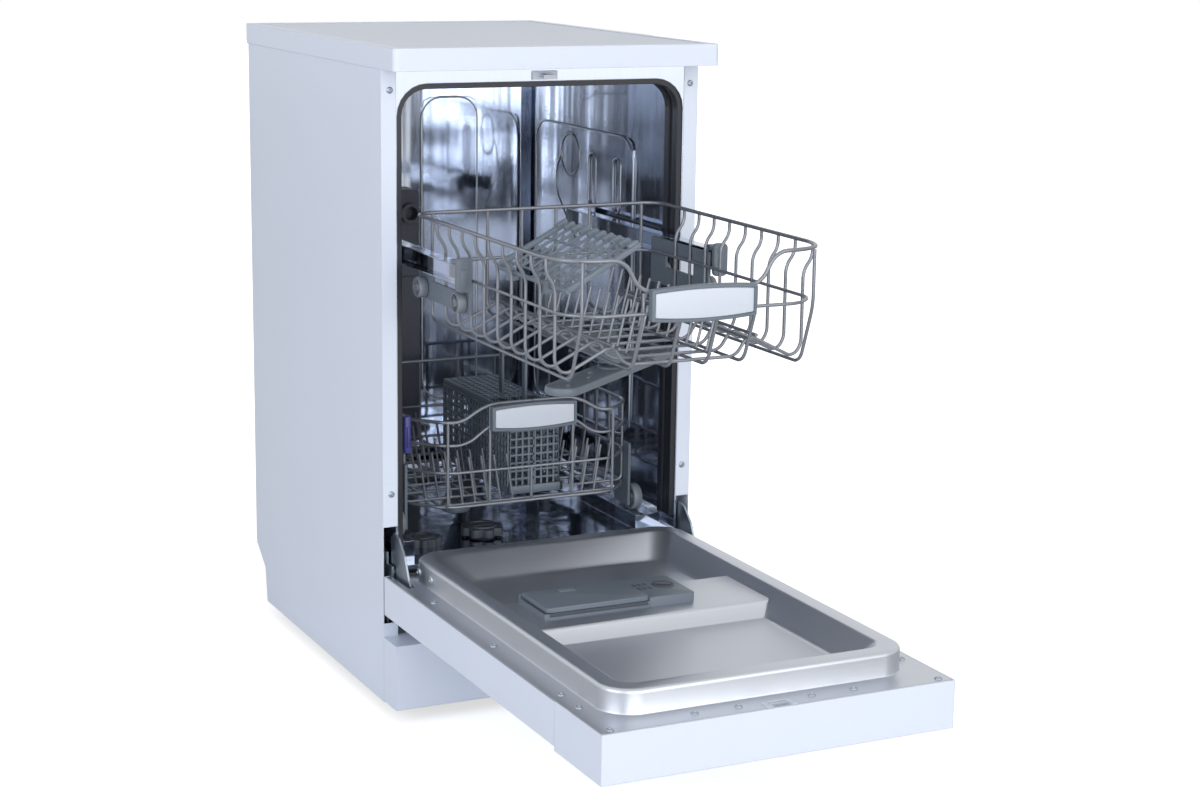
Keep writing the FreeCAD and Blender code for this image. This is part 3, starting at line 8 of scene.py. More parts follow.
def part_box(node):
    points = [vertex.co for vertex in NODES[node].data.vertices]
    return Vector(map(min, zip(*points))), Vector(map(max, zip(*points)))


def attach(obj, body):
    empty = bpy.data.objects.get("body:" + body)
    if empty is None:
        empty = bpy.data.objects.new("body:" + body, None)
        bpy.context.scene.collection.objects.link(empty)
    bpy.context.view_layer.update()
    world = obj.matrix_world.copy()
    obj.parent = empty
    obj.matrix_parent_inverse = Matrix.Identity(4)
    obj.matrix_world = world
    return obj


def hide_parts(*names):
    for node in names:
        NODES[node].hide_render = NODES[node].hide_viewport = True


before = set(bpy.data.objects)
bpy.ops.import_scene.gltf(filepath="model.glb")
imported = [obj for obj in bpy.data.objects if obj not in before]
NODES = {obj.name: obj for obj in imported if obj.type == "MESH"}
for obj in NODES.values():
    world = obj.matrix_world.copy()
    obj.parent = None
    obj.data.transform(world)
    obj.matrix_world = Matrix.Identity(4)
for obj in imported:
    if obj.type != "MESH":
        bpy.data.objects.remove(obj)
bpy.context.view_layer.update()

bl_info = {
    "name": "Slimline dishwasher dressing",
    "version": (1, 0, 0),
    "blender": (4, 5, 0),
    "location": "3D View > Sidebar > Dishwasher",
    "description": "Wires, pressings, mouldings, finishes and stage for the slimline dishwasher",
    "category": "Object",
}

# The middle of the frame and its axes
ORIGIN, ACROSS, BACKWARD, UP = (0, 0, 0), (1, 0, 0), (0, 1, 0), (0, 0, 1)
# Lengths are in metres, only the grain of a finish is in millimetres
MM_PER_M = 1000.0
# Lengths below this count as none
TINY = 1e-6
# Edges of a handle that turn by more than this many radians are sharp
SHARP = 1.0
# The share of a straight that a bend may take, and of the way to the corner that its curve handles reach
BEND_SHARE, HANDLE_SHARE = 0.48, 0.56
# The outer basket wires run this far inside the CAD baskets
WIRE_INSET = 0.0022
# Wires stop this far short of the line that they are welded to
WELD = 0.0005
# Crossing wires lie this share of a diameter apart
LAY_SHARE = 0.8
# Height of the raised frame of the inner door above its flange
FRAME_RISE = 0.029
# The edge that leads each loop of the inner door, which settles how its flat tray is split and shaded
FIRST_EDGE = 30


def linear(text):
    """Turn an sRGB hex colour into linear values for a shader."""
    channels = [int(text[i:i + 2], 16) / 255 for i in (0, 2, 4)]
    lin = [c / 12.92 if c <= 0.04045 else ((c + 0.055) / 1.055) ** 2.4 for c in channels]
    return (*lin, 1.0)


def length(name, description, default):
    """A size that a user may change."""
    return bpy.props.FloatProperty(name=name, description=description, default=default, unit="LENGTH")


def colour(name, description, default):
    """A colour that a user may change, given as sRGB hex text."""
    return bpy.props.FloatVectorProperty(name=name, description=description, default=linear(default), size=4,
                                         min=0.0, max=1.0, subtype="COLOR")


class DISHWASHER_PG_sizes(bpy.types.PropertyGroup):
    """Sizes of the wires and mouldings."""

    wire: length("Basket wire", "Diameter of the coated basket wire", 0.0042)
    rim_wire: length("Rim wire", "Diameter of the top rim wire", 0.005)
    tine_wire: length("Tine wire", "Diameter of the plate tines", 0.0034)
    bend: length("Wire bend", "Length of each bend along the wire", 0.009)
    crest: length("Crest radius", "Outer edge of the raised frame of the inner door", 0.005)
    lattice_bar: length("Lattice bar", "Width of the bars of the cutlery basket", 0.0026)
    bead: length("Pressed bead", "Width of the beads pressed into the tub walls", 0.0034)


class DISHWASHER_PG_colours(bpy.types.PropertyGroup):
    """Colours of the finishes."""

    enamel: colour("Enamel", "White enamel of the cabinet", "dfe7f5")
    steel: colour("Tub steel", "Bright rolled steel of the tub", "bac1ce")
    door_steel: colour("Door steel", "Satin steel of the inner door", "c0c4cc")
    zinc: colour("Zinc", "Galvanised brackets, rear panel and screws", "9fa9b2")
    rubber: colour("Rubber", "Black door seal and feet", "181c24")
    grey: colour("Grey moulding", "Grey polypropylene", "6b7580")
    # Partly painted light: paler than the grey moulding in part to offset the shade that the cutlery basket
    # sits in
    pale_grey: colour("Pale grey moulding", "Cup shelf and cutlery basket", "717c88")
    frosted: colour("Frosted moulding", "Translucent rollers and wheels", "a3abb4")
    charcoal: colour("Dark moulding", "Charcoal polypropylene", "464c56")
    white_moulding: colour("White moulding", "White styrene mouldings", "d0d7e2")
    violet: colour("Clip", "Violet clip on the lower rack", "4a4b92")
    coating: colour("Wire coating", "Nylon on the rack wires", "858991")
    concrete: colour("Concrete", "Cast counterweight", "8a8983")
    board: colour("Circuit board", "Solder mask of the control board", "2f6b45")


def shade(tone, factor):
    """A linear colour made lighter or darker."""
    return (*(min(channel * factor, 1.0) for channel in tone[:3]), 1.0)


def add(tree, kind, values=None, links=None):
    """Add a node, set its plain values and join its inputs to other sockets."""
    node = tree.nodes.new(kind)
    for name, value in (values or {}).items():
        if name in node.inputs:
            node.inputs[name].default_value = value
        else:
            setattr(node, name, value)
    for name, socket in (links or {}).items():
        tree.links.new(socket, node.inputs[name])
    return node


def new_material(name):
    """An empty node material."""
    material = bpy.data.materials.new(name)
    material.use_nodes = True
    material.node_tree.nodes.clear()
    return material, material.node_tree


def noise(tree, vector, scale, detail):
    """A cloudy texture."""
    node = add(tree, "ShaderNodeTexNoise", {"Scale": scale, "Detail": detail}, {"Vector": vector})
    return node.outputs["Fac"]


def spread(tree, value, low, high):
    """A value from 0 to 1 laid out between two others."""
    node = add(tree, "ShaderNodeMapRange", {"To Min": low, "To Max": high}, {"Value": value})
    return node.outputs["Result"]


def tinted(tree, share, tone, dark, light):
    """A colour that drifts between a darker and a lighter shade of itself."""
    mix = add(tree, "ShaderNodeMix", {"data_type": "RGBA"}, {"Factor": share})
    # The colour sockets share their names with others of this node, so they go by number
    mix.inputs[6].default_value = shade(tone, dark)
    mix.inputs[7].default_value = shade(tone, light)
    return mix.outputs[2]


def eased(tree, radius):
    """A normal that rounds the edges, radius in millimetres."""
    return add(tree, "ShaderNodeBevel", {"samples": 4, "Radius": radius / MM_PER_M}).outputs["Normal"]


def bumped(tree, strength, depth, height, normal):
    """A normal that follows a relief, depth in millimetres."""
    return add(tree, "ShaderNodeBump", {"Strength": strength, "Distance": depth / MM_PER_M},
               {"Height": height, "Normal": normal}).outputs["Normal"]


def stretched(tree, place, size, axis, times):
    """Places for a texture of one size in millimetres, drawn out along an axis."""
    scale = [MM_PER_M / size] * 3
    scale[axis] /= times
    return add(tree, "ShaderNodeMapping", {"Scale": scale}, {"Vector": place}).outputs["Vector"]


def surface(tree, values, tint, rough, normal):
    """End a material in one principled shader."""
    shader = add(tree, "ShaderNodeBsdfPrincipled", values,
                 {"Base Color": tint, "Roughness": rough, "Normal": normal})
    add(tree, "ShaderNodeOutputMaterial", {}, {"Surface": shader.outputs["BSDF"]})


def finish(name, tone, rough, drift, grain, depth, edge=0.8, **values):
    """Paint, plastic or plate: a drift of colour and roughness, a fine grain and softened edges."""
    material, tree = new_material(name)
    place = add(tree, "ShaderNodeTexCoord").outputs["Object"]
    cloud = noise(tree, place, 6.0, 3.0)
    relief = noise(tree, place, MM_PER_M / grain, 2.0)
    grainy = bumped(tree, 0.35, depth, relief, eased(tree, edge))
    surface(tree, values, tinted(tree, cloud, tone, 1 - drift, 1 + drift),
            spread(tree, cloud, rough * 0.85, rough * 1.15), grainy)
    return material


def sheet_finish(name, tone, rough, axis, streak, wave, depth, stretch):
    """Metal sheet: long rolling streaks in the roughness and a slow waviness that bends reflections."""
    material, tree = new_material(name)
    place = add(tree, "ShaderNodeTexCoord").outputs["Object"]
    lines = noise(tree, stretched(tree, place, streak, axis, 60), 1.0, 3.0)
    swell = noise(tree, stretched(tree, place, wave, axis, stretch), 1.0, 1.0)
    wavy = bumped(tree, 1.0, depth, swell, eased(tree, 1.2))
    surface(tree, {"Metallic": 1.0}, tinted(tree, lines, tone, 0.93, 1.05),
            spread(tree, lines, rough * 0.75, rough * 1.3), bumped(tree, 0.12, 0.04, lines, wavy))
    return material


def polypropylene(name, tone, rough, drift):
    """Injection-moulded polypropylene, spark-eroded grain."""
    return finish("moulded polypropylene, " + name, tone, rough, drift, grain=0.7, depth=0.03, IOR=1.49)


def make_finishes(colours):
    """Every finish on the machine, by name."""
    return {
        # Sprayed and baked enamel on folded sheet: smooth, glossy, with a trace of orange peel
        "enamel": finish("baked enamel on sheet steel", colours.enamel, rough=0.3, drift=0.008, grain=2.2,
                         depth=0.02, edge=1.6, IOR=1.5),
        # Melamine-faced board set in the worktop: satin, with a fine pebbled press plate
        "melamine": finish("melamine board, pebbled", colours.enamel, rough=0.42, drift=0.015, grain=1.2,
                           depth=0.05, IOR=1.5),
        # Bright-rolled stainless sheet, deep drawn: mirror-like but wavy
        "tub_steel": sheet_finish("bright rolled stainless, drawn", colours.steel, rough=0.09, axis=2,
                                  streak=1.2, wave=34.0, depth=0.7, stretch=14),
        # Satin-finished stainless of the inner door: even, soft highlights along the rolling direction
        "door_steel": sheet_finish("satin stainless, rolled", colours.door_steel, rough=0.36, axis=0,
                                   streak=0.9, wave=140.0, depth=0.2, stretch=1),
        # Hot-dip galvanised plate: dull, with a faint spangle
        "zinc": finish("galvanised sheet", colours.zinc, rough=0.36, drift=0.12, grain=7.0, depth=0.02,
                       Metallic=1.0),
        # Extruded EPDM: satin black
        "rubber": finish("extruded rubber", colours.rubber, rough=0.34, drift=0.1, grain=0.8, depth=0.03,
                         edge=1.5, IOR=1.52),
        # Polypropylene dyed in the mass; the pale grey is partly its own paler tone and partly painted light,
        # lightened to offset the shade that the cutlery basket sits in
        "grey": polypropylene("grey", colours.grey, rough=0.42, drift=0.04),
        "pale_grey": polypropylene("pale grey", colours.pale_grey, rough=0.4, drift=0.04),
        "charcoal": polypropylene("charcoal", colours.charcoal, rough=0.46, drift=0.06),
        # Unfilled polypropylene, polished tool: cloudy and partly see-through
        "frosted": finish("moulded polypropylene, translucent", colours.frosted, rough=0.32, drift=0.04,
                          grain=2.0, depth=0.02, IOR=1.49, **{"Transmission Weight": 0.45}),
        # Injection-moulded styrene, polished tool
        "white": finish("moulded styrene, white", colours.white_moulding, rough=0.3, drift=0.01, grain=1.5,
                        depth=0.02, IOR=1.55),
        # Injection-moulded acetal, dyed in the mass
        "violet": finish("moulded acetal, violet", colours.violet, rough=0.35, drift=0.05, grain=0.8,
                         depth=0.02, IOR=1.48),
        # Nylon sintered on steel wire: smooth, semi-gloss
        "coating": finish("nylon-coated wire", colours.coating, rough=0.25, drift=0.05, grain=1.0, depth=0.02,
                          Metallic=0.5),
        # Cast concrete block, open pores
        "concrete": finish("cast concrete", colours.concrete, rough=0.85, drift=0.12, grain=5.0, depth=0.6,
                           IOR=1.5),
        # Solder-masked circuit board
        "board": finish("solder-masked board", colours.board, rough=0.4, drift=0.08, grain=2.0, depth=0.03,
                        IOR=1.5),
    }


# The CAD nodes that keep their own shapes; pieces replace the others
FINISH_OF_NODE = {
    "enamel": ["worktop", "side_panel_left", "side_panel_right", "plinth", "door_skin", "control_panel"],
    "melamine": ["worktop_inlay"],
    "tub_steel": ["tub", "rails"],
    "zinc": ["rear_panel", "hinge_arms", "hinge_brackets"],
    "rubber": ["tub_gasket", "levelling_feet"],
    "charcoal": ["base_tray", "rail_guides", "water_duct", "sump", "wash_pump", "drain_pump", "drain_outlet"],
    "white": ["latch_striker", "softener", "inlet_valve", "door_latch"],
    "grey": ["button_power", "button_program", "button_start", "roller_carriers", "feed_tube", "shelf_clips",
             "wheel_carriers"],
    "frosted": ["rail_rollers_front", "rail_rollers_rear"],
    "concrete": ["counterweight"],
    "board": ["control_board"],
}
FINISHES = {}


def dress(piece, finish_name):
    """Give a piece one finish on all its faces."""
    piece.data.materials.clear()
    piece.data.materials.append(FINISHES[finish_name])


def merged(*parts):
    """Gather several shapes into one."""
    whole = bmesh.new()
    for part in parts:
        mesh = bpy.data.meshes.new("part")
        part.to_mesh(mesh)
        part.free()
        whole.from_mesh(mesh)
        bpy.data.meshes.remove(mesh)
    return whole


def settle(name, shape, finish_name, slot, body, *nodes, angle=35):
    """Make a finished piece of a shape: its finish, its slot (not used) and body, and the nodes that it
    stands for.
    """
    bmesh.ops.recalc_face_normals(shape, faces=shape.faces[:])
    mesh = bpy.data.meshes.new(name)
    shape.to_mesh(mesh)
    shape.free()
    mesh.shade_smooth()
    mesh.set_sharp_from_angle(angle=math.radians(angle))
    piece = bpy.data.objects.new(name, mesh)
    bpy.context.scene.collection.objects.link(piece)
    dress(piece, finish_name)
    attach(piece, body)
    if nodes:
        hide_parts(*nodes)


def ease(shape, edges, radius, segments):
    """Round some edges."""
    bmesh.ops.bevel(shape, geom=edges, offset=radius, offset_type="OFFSET", segments=segments, profile=0.5,
                    affect="EDGES", material=-1, clamp_overlap=True)


def block(low, high, corner=0.0, axis=2, edge=0.0, segments=4):
    """A block between two corners, rounded along one axis and eased at both its ends."""
    low, high = Vector(low), Vector(high)
    shape = bmesh.new()
    bmesh.ops.create_cube(shape, size=1.0)
    bmesh.ops.scale(shape, vec=high - low, verts=shape.verts[:])
    bmesh.ops.translate(shape, vec=(low + high) / 2, verts=shape.verts[:])
    if corner:
        runs = [e for e in shape.edges if abs(e.verts[0].co[axis] - e.verts[1].co[axis]) > TINY]
        ease(shape, runs, corner, segments)
    if edge:
        ends = [e for e in shape.edges if abs(e.verts[0].co[axis] - e.verts[1].co[axis]) < TINY / 10]
        ease(shape, ends, edge, 2)
    return shape


def turned(profile, centre=ORIGIN, axis=UP, steps=36):
    """Turn a profile of (radius, height) points about an axis."""
    shape = bmesh.new()
    centre, axis = Vector(centre), Vector(axis).normalized()
    side = axis.orthogonal().normalized()
    spots = [shape.verts.new(centre + side * radius + axis * height) for radius, height in profile]
    lines = [shape.edges.new(pair) for pair in zip(spots, spots[1:])]
    bmesh.ops.spin(shape, geom=spots + lines, cent=centre, axis=axis, angle=math.tau, steps=steps,
                   use_merge=True)
    bmesh.ops.remove_doubles(shape, verts=shape.verts[:], dist=TINY)
    return shape


def placed(shape, *moves):
    """Put a shape through some transforms, the first one first."""
    for move in moves:
        bmesh.ops.transform(shape, matrix=move, verts=shape.verts[:])
    return shape


def shift(x, y, z):
    """A move along the axes."""
    return Matrix.Translation((x, y, z))


def spun(degrees, axis):
    """A turn about an axis through the origin."""
    return Matrix.Rotation(math.radians(degrees), 4, axis)


def points_of(geometry):
    """The vertices among what an operator made."""
    return [item for item in geometry if isinstance(item, bmesh.types.BMVert)]


def round_box(node):
    """The low and high corners of an upright round node, its middle and its radius."""
    low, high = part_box(node)
    return low, high, (low + high) / 2, (high.x - low.x) / 2


def loop(shape, half, near, far, z, radius):
    """The edges of a rounded rectangle that lies flat at one height."""
    made = bmesh.ops.create_circle(shape, segments=48, radius=radius, matrix=spun(3.75, "Z"))["verts"]
    for v in made:
        x = half - radius if v.co.x > 0 else radius - half
        y = far - radius if v.co.y > 0 else near + radius
        v.co += Vector((x, y, z))
    edges = list(dict.fromkeys(e for v in made for e in v.link_edges))
    return edges[FIRST_EDGE:] + edges[:FIRST_EDGE]


def lay_wire(curve, points, bend, closed=False):
    """Lay one wire through corner points; each corner becomes a smooth bend."""
    corners = [Vector(p) for p in points]
    count = len(corners)
    spots = []
    for i, corner in enumerate(corners):
        if not closed and i in (0, count - 1):
            spots.append((corner, corner, corner))
            continue
        before, after = corners[i - 1] - corner, corners[(i + 1) % count] - corner
        reach = min(bend, before.length * BEND_SHARE, after.length * BEND_SHARE)
        start, end = corner + before.normalized() * reach, corner + after.normalized() * reach
        spots.append((start, start, start.lerp(corner, HANDLE_SHARE)))
        spots.append((end, end.lerp(corner, HANDLE_SHARE), end))
    spline = curve.splines.new("BEZIER")
    spline.bezier_points.add(len(spots) - 1)
    for point, (place, left, right) in zip(spline.bezier_points, spots):
        point.handle_left_type = point.handle_right_type = "FREE"
        point.co, point.handle_left, point.handle_right = place, left, right
    spline.use_cyclic_u = closed
    spline.resolution_u = 5


def flipped(run):
    """The mirror image of a run of points."""
    return [(-x, y, z) for x, y, z in run]


def mirrored(run):
    """A run of points and its mirror image, joined across the middle."""
    return run + flipped(run)[::-1]


def lay_pair(curve, run, bend):
    """Lay a wire and its mirror image."""
    lay_wire(curve, run, bend)
    lay_wire(curve, flipped(run), bend)


def new_wire(name, diameter):
    """An empty wire bundle of one diameter."""
    curve = bpy.data.curves.new(name, "CURVE")
    curve.dimensions = "3D"
    curve.bevel_depth = diameter / 2
    curve.bevel_resolution = 2
    curve.use_fill_caps = True
    return curve


def wires_of(*curves):
    """One shape from several wire bundles."""
    shape = bmesh.new()
    for curve in curves:
        holder = bpy.data.objects.new("path", curve)
        mesh = bpy.data.meshes.new_from_object(holder)
        shape.from_mesh(mesh)
        bpy.data.objects.remove(holder)
        bpy.data.meshes.remove(mesh)
    return shape


class DISHWASHER_OT_finishes(bpy.types.Operator):
    """Make the finishes and lay them on the construction nodes"""

    bl_idname = "dishwasher.finishes"
    bl_label = "Finishes"

    def execute(self, context):
        FINISHES.update(make_finishes(context.scene.dishwasher_colours))
        for finish_name, nodes in FINISH_OF_NODE.items():
            for node in nodes:
                dress(NODES[node], finish_name)
        return {"FINISHED"}


class DISHWASHER_OT_upper_basket(bpy.types.Operator):
    """Bend the round wires of the upper rack"""

    bl_idname = "dishwasher.upper_basket"
    bl_label = "Upper basket"

    def execute(self, context):
        sizes = context.scene.dishwasher_sizes
        low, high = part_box("upper_rack_basket")
        front, back = low.y + WIRE_INSET, high.y - WIRE_INSET
        rim, dip, ring, floor = 0.650, 0.612, 0.588, 0.516
        half, body, corner, turn = 0.172, 0.160, 0.045, 0.014
        trough = floor + 0.006
        bend, lay = sizes.bend, sizes.wire * LAY_SHARE
        rims = new_wire("rim", sizes.rim_wire)
        lay_wire(rims, mirrored([
            (WELD, front, dip), (0.076, front, dip), (0.097, front, rim), (half - corner, front, rim),
            (half - 0.013, front + 0.013, rim), (half, front + corner, rim), (half, back - turn, rim),
            (half - turn, back, rim)]), 0.016)
        wires = new_wire("wires", sizes.wire)
        lay_wire(wires, mirrored([
            (0.026, back, ring), (body - turn, back, ring), (body, back - turn, ring),
            (body, front + 0.03, ring), (body - 0.03, front, ring)]), turn)
        first, pitch = front + corner, 0.04
        for k in range(9):
            y = first + pitch * k
            lay_wire(wires, mirrored([
                (half, y, rim - WELD), (half, y, rim - 0.017), (body, y, rim - 0.032),
                (body, y, floor + 0.012), (body - 0.012, y, floor), (0.088, y, floor + 0.03),
                (0.072, y, trough)]), bend)
        foot, face = front + 0.03, front + 0.001
        for x, z, top in ((0.148, floor, rim), (0.072, trough, dip), (0.024, trough, dip)):
            lay_pair(wires, [
                (x, back, rim), (x, back, z + 0.006), (x, back - 0.008, z - lay), (x, foot + 0.004, z - lay),
                (x, foot - 0.006, z + 0.004), (x, face, ring - 0.004), (x, face, top - WELD)], 0.012)
        # A pair of stiffening wires lies on each ridge of the floor
        for x, z in ((0.0845, floor + 0.027), (0.0925, floor + 0.031)):
            level = z + lay - 0.003
            lay_pair(wires, [(x, first - 0.012, level), (x, first + 0.332, level)], bend)
        tines = new_wire("tines", sizes.tine_wire)
        seat = trough + sizes.wire * 0.3 + sizes.tine_wire / 2
        start = first + pitch / 2
        for x in (-0.048, 0.044):
            lay_wire(tines, [(x, start - 0.01, seat), (x, start + 0.285, seat)], bend)
            for k in range(12):
                y = start + 0.025 * k
                lay_wire(tines, [(x, y, seat), (x + 0.015, y, seat + 0.06)], bend)
        settle("upper_basket_wires", wires_of(rims, wires, tines), "coating", "coated_wire", "upper_rack",
               "upper_rack_basket", angle=60)
        return {"FINISHED"}


class DISHWASHER_OT_lower_basket(bpy.types.Operator):
    """Bend the round wires of the lower rack and hang its clip"""

    bl_idname = "dishwasher.lower_basket"
    bl_label = "Lower basket"

    def execute(self, context):
        sizes = context.scene.dishwasher_sizes
        low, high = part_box("lower_rack_basket")
        front, back = low.y + WIRE_INSET, high.y - WIRE_INSET
        rim, mid, floor, brow = 0.372, 0.304, 0.258, 0.393
        half, bay, turn = 0.160, 0.120, 0.014
        side, second = front + 0.045, rim - 0.031
        bend, lay = sizes.bend, sizes.wire * LAY_SHARE
        rims = new_wire("rim", sizes.rim_wire)
        lay_wire(rims, mirrored([
            (WELD, front, brow), (0.064, front, brow), (0.100, front, rim), (bay, front, rim),
            (half, side, rim), (half, back - turn, rim), (half - turn, back, rim)]), 0.016)
        wires = new_wire("wires", sizes.wire)
        lay_pair(wires, [
            (0.0008, front, brow - 0.027), (0.058, front, brow - 0.027), (0.092, front, second),
            (bay, front, second), (half, side, second), (half, side + 0.032, second)], turn)
        for z in (mid, floor):
            lay_wire(wires, mirrored([
                (bay, front, z), (half, side, z), (half, back - turn, z), (half - turn, back, z)]),
                     0.02, closed=True)
        first, pitch = side + 0.008, 0.04
        for k in range(8):
            y = first + pitch * k
            lay_wire(wires, mirrored([
                (half, y, rim - WELD), (half, y, floor + 0.005), (half - 0.005, y, floor)]), bend)
        for x, top in ((bay - WELD, rim), (0.06, brow), (0.0, mid)):
            run = [(x, back, rim - WELD), (x, back, floor + 0.004), (x, back - 0.006, floor - lay),
                   (x, front + 0.006, floor - lay), (x, front, floor + 0.004), (x, front, top - WELD)]
            lay_wire(wires, run, bend)
            if x:
                lay_wire(wires, flipped(run), bend)
        lay_wire(wires, [(half - 0.035, first - pitch, floor), (0.035 - half, first - pitch, floor)], bend)
        tines = new_wire("tines", sizes.tine_wire)
        lean, gap = 0.010, 0.018
        left = [-0.129 + gap * k for k in range(7)]
        right = [0.062 + gap * k for k in range(5)]
        stands = [(x, -lean, first + pitch * 2 * row) for row in range(4) for x in left[:6]]
        stands += [(x, lean, first + pitch * 2 * row) for row in range(4) for x in right]
        stands += [(x, -lean, first - pitch) for x in left[1:]]
        stands += [(x, lean, first - pitch) for x in right[:3]]
        for x, tip, y in stands:
            lay_wire(tines, [(x, y, floor), (x + tip, y, floor + 0.063)], bend)
        settle("lower_basket_wires", wires_of(rims, wires, tines), "coating", "coated_wire", "lower_rack",
               "lower_rack_basket", angle=60)
        y = first - 0.013
        clip = [block((-half - 0.004, y, rim - 0.046), (-half + 0.006, y + 0.016, rim + 0.004),
                      0.003, 2, 0.0015),
                block((-half - 0.001, y - 0.0015, rim - 0.038), (-half + 0.004, y + 0.012, rim - 0.010),
                      0.002, 2, 0.0008)]
        settle("lower_rack_clip", merged(*clip), "violet", "white_plastic", "lower_rack")
        return {"FINISHED"}


def door_rows(flange, top, crest):
    """The rounded rectangles of the pressing from its rim inwards: half width, ends, height and corner."""
    low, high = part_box("door_liner")
    half, near, far, corner = 0.190, -0.548, 0.040, 0.040
    rows = [(high.x, low.y, high.y, flange, 0.003)]
    for out, rise in ((0.0024, 0.0), (0.0007, 0.0007), (0.0, 0.0024)):
        rows.append((half + out, near - out, far + out, flange + rise, corner + out))
    for turn in (0, 22, 45, 68, 90):
        inset = crest * (1 - math.cos(math.radians(turn)))
        rise = crest * math.sin(math.radians(turn))
        rows.append((half - inset, near + inset, far - inset, top - crest + rise, corner - inset))
    rows.append((0.1775, -0.5355, 0.0285, top + 0.0001, 0.031))
    # The wall of the tray falls in a soft curve, steepest at the front and gentlest at the hinge
    for share, drop in ((-0.12, 0.0), (-0.07, 0.0003), (-0.02, 0.0011), (0.04, 0.0026), (0.84, 0.0243),
                        (0.92, 0.0266), (1.0, 0.0281), (1.1, 0.029)):
        rows.append((0.166 - 0.026 * share, -0.524 + 0.018 * share, 0.016 - 0.042 * share, top - drop,
                     0.026 - 0.002 * share))
    return rows


def door_step(flange):
    """The cross step that holds the dispenser, with sloping sides."""
    slope = 0.016
    step = block((-0.161, -0.300, flange - 0.0006), (0.161, -0.154, flange + 0.017))
    for v in step.verts:
        if v.co.z > flange:
            v.co.y += slope if v.co.y < -0.2 else -slope
    ease(step, [e for e in step.edges if min(v.co.z for v in e.verts) > flange], 0.005, 4)
    return step


def notch(shape, x0, x1, y0, y1, z):
    """Cut a rectangle out of the flat flange round the raised frame."""
    for place, normal in (((x0, 0, z), ACROSS), ((x1, 0, z), ACROSS), ((0, y0, z), BACKWARD),
                          ((0, y1, z), BACKWARD)):
        flat = flange_faces(shape, z)
        lines = {e for f in flat for e in f.edges}
        spots = {v for f in flat for v in f.verts}
        bmesh.ops.bisect_plane(shape, geom=flat + list(lines) + list(spots), plane_co=place,
                               plane_no=normal)
    gone = []
    for face in flange_faces(shape, z):
        centre = face.calc_center_median()
        if x0 < centre.x < x1 and y0 < centre.y < y1:
            gone.append(face)
    bmesh.ops.delete(shape, geom=gone, context="FACES")


def flange_faces(shape, z):
    """The faces of the flange: flat at its height, and outside the raised frame."""
    half, near, far = 0.195, -0.553, 0.0435
    return [f for f in shape.faces if max(abs(v.co.z - z) for v in f.verts) < 10 * TINY
            and any(abs(v.co.x) > half or v.co.y < near or v.co.y > far for v in f.verts)]


class DISHWASHER_OT_inner_door(bpy.types.Operator):
    """Press the inner door: flange, raised frame, tray and cross step"""

    bl_idname = "dishwasher.inner_door"
    bl_label = "Inner door"

    def execute(self, context):
        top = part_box("door_liner")[1].z
        flange = top - FRAME_RISE
        shape = bmesh.new()
        loops = [loop(shape, *row) for row in door_rows(flange, top, context.scene.dishwasher_sizes.crest)]
        for outer, inner in zip(loops, loops[1:]):
            bmesh.ops.bridge_loops(shape, edges=outer + inner)
        bmesh.ops.edgeloop_fill(shape, edges=loops[-1])
        bmesh.ops.recalc_face_normals(shape, faces=shape.faces[:])
        # One opening for the latch striker and two for the hinge brackets
        for opening in ((-0.0115, 0.0115, -0.5825, -0.5675), (-0.213, -0.203, -0.015, 0.051),
                        (0.203, 0.213, -0.015, 0.051)):
            notch(shape, *opening, flange)
        sheet = 0.0007
        rims = [e for e in shape.edges if e.is_boundary]
        folded = bmesh.ops.extrude_edge_only(shape, edges=rims)["geom"]
        bmesh.ops.translate(shape, vec=(0.0, 0.0, -sheet), verts=points_of(folded))
        settle("inner_door_pressing", merged(shape, door_step(flange)), "door_steel", "stainless", "door",
               "door_liner")
        sides = ((-0.019, -0.0116, -0.5838, 0.0012), (0.0116, 0.019, -0.5838, 0.0012),
                 (-0.0125, 0.0125, -0.5674, 0.0004))
        plate = [block((x0, y0, flange - 0.0004), (x1, -0.5662, flange + sheet), corner, 2, 0.0003)
                 for x0, x1, y0, corner in sides]
        settle("latch_plate", merged(*plate), "white", "white_plastic", "door")
        return {"FINISHED"}


def barrel(low, high):
    """A plate that faces the front, with its upper and lower edges bowed outwards."""
    shape = block(low, high)
    half, middle, rise, sweep = high.x, (low.z + high.z) / 2, 0.003, 0.0012
    runs = [e for e in shape.edges if abs(e.verts[0].co.x - e.verts[1].co.x) > TINY]
    bmesh.ops.subdivide_edges(shape, edges=runs, cuts=19, use_grid_fill=True)
    for v in shape.verts:
        fall = (v.co.x / half) ** 2
        v.co.z += -rise * fall if v.co.z > middle else rise * fall
        v.co.y += sweep * fall
    bmesh.ops.recalc_face_normals(shape, faces=shape.faces[:])
    shape.normal_update()
    return shape


def outline(shape):
    """The sharp edges at the back and on the outline of the front."""
    rear = max(v.co.y for v in shape.verts) - 0.003
    ends = max(abs(v.co.x) for v in shape.verts) - 0.0001
    level = sum(v.co.z for v in shape.verts) / len(shape.verts)
    chosen = []
    for edge in shape.edges:
        x, z = edge.verts[0].co.x, edge.verts[0].co.z
        normals = [f.normal for f in edge.link_faces if abs(f.normal.y) < 0.5]
        outer = any(n.z * (z - level) > 0 or n.x * x > 0 and abs(x) > ends for n in normals)
        behind = max(v.co.y for v in edge.verts) > rear
        if edge.calc_face_angle(0) > SHARP and (behind or outer):
            chosen.append(edge)
    return chosen


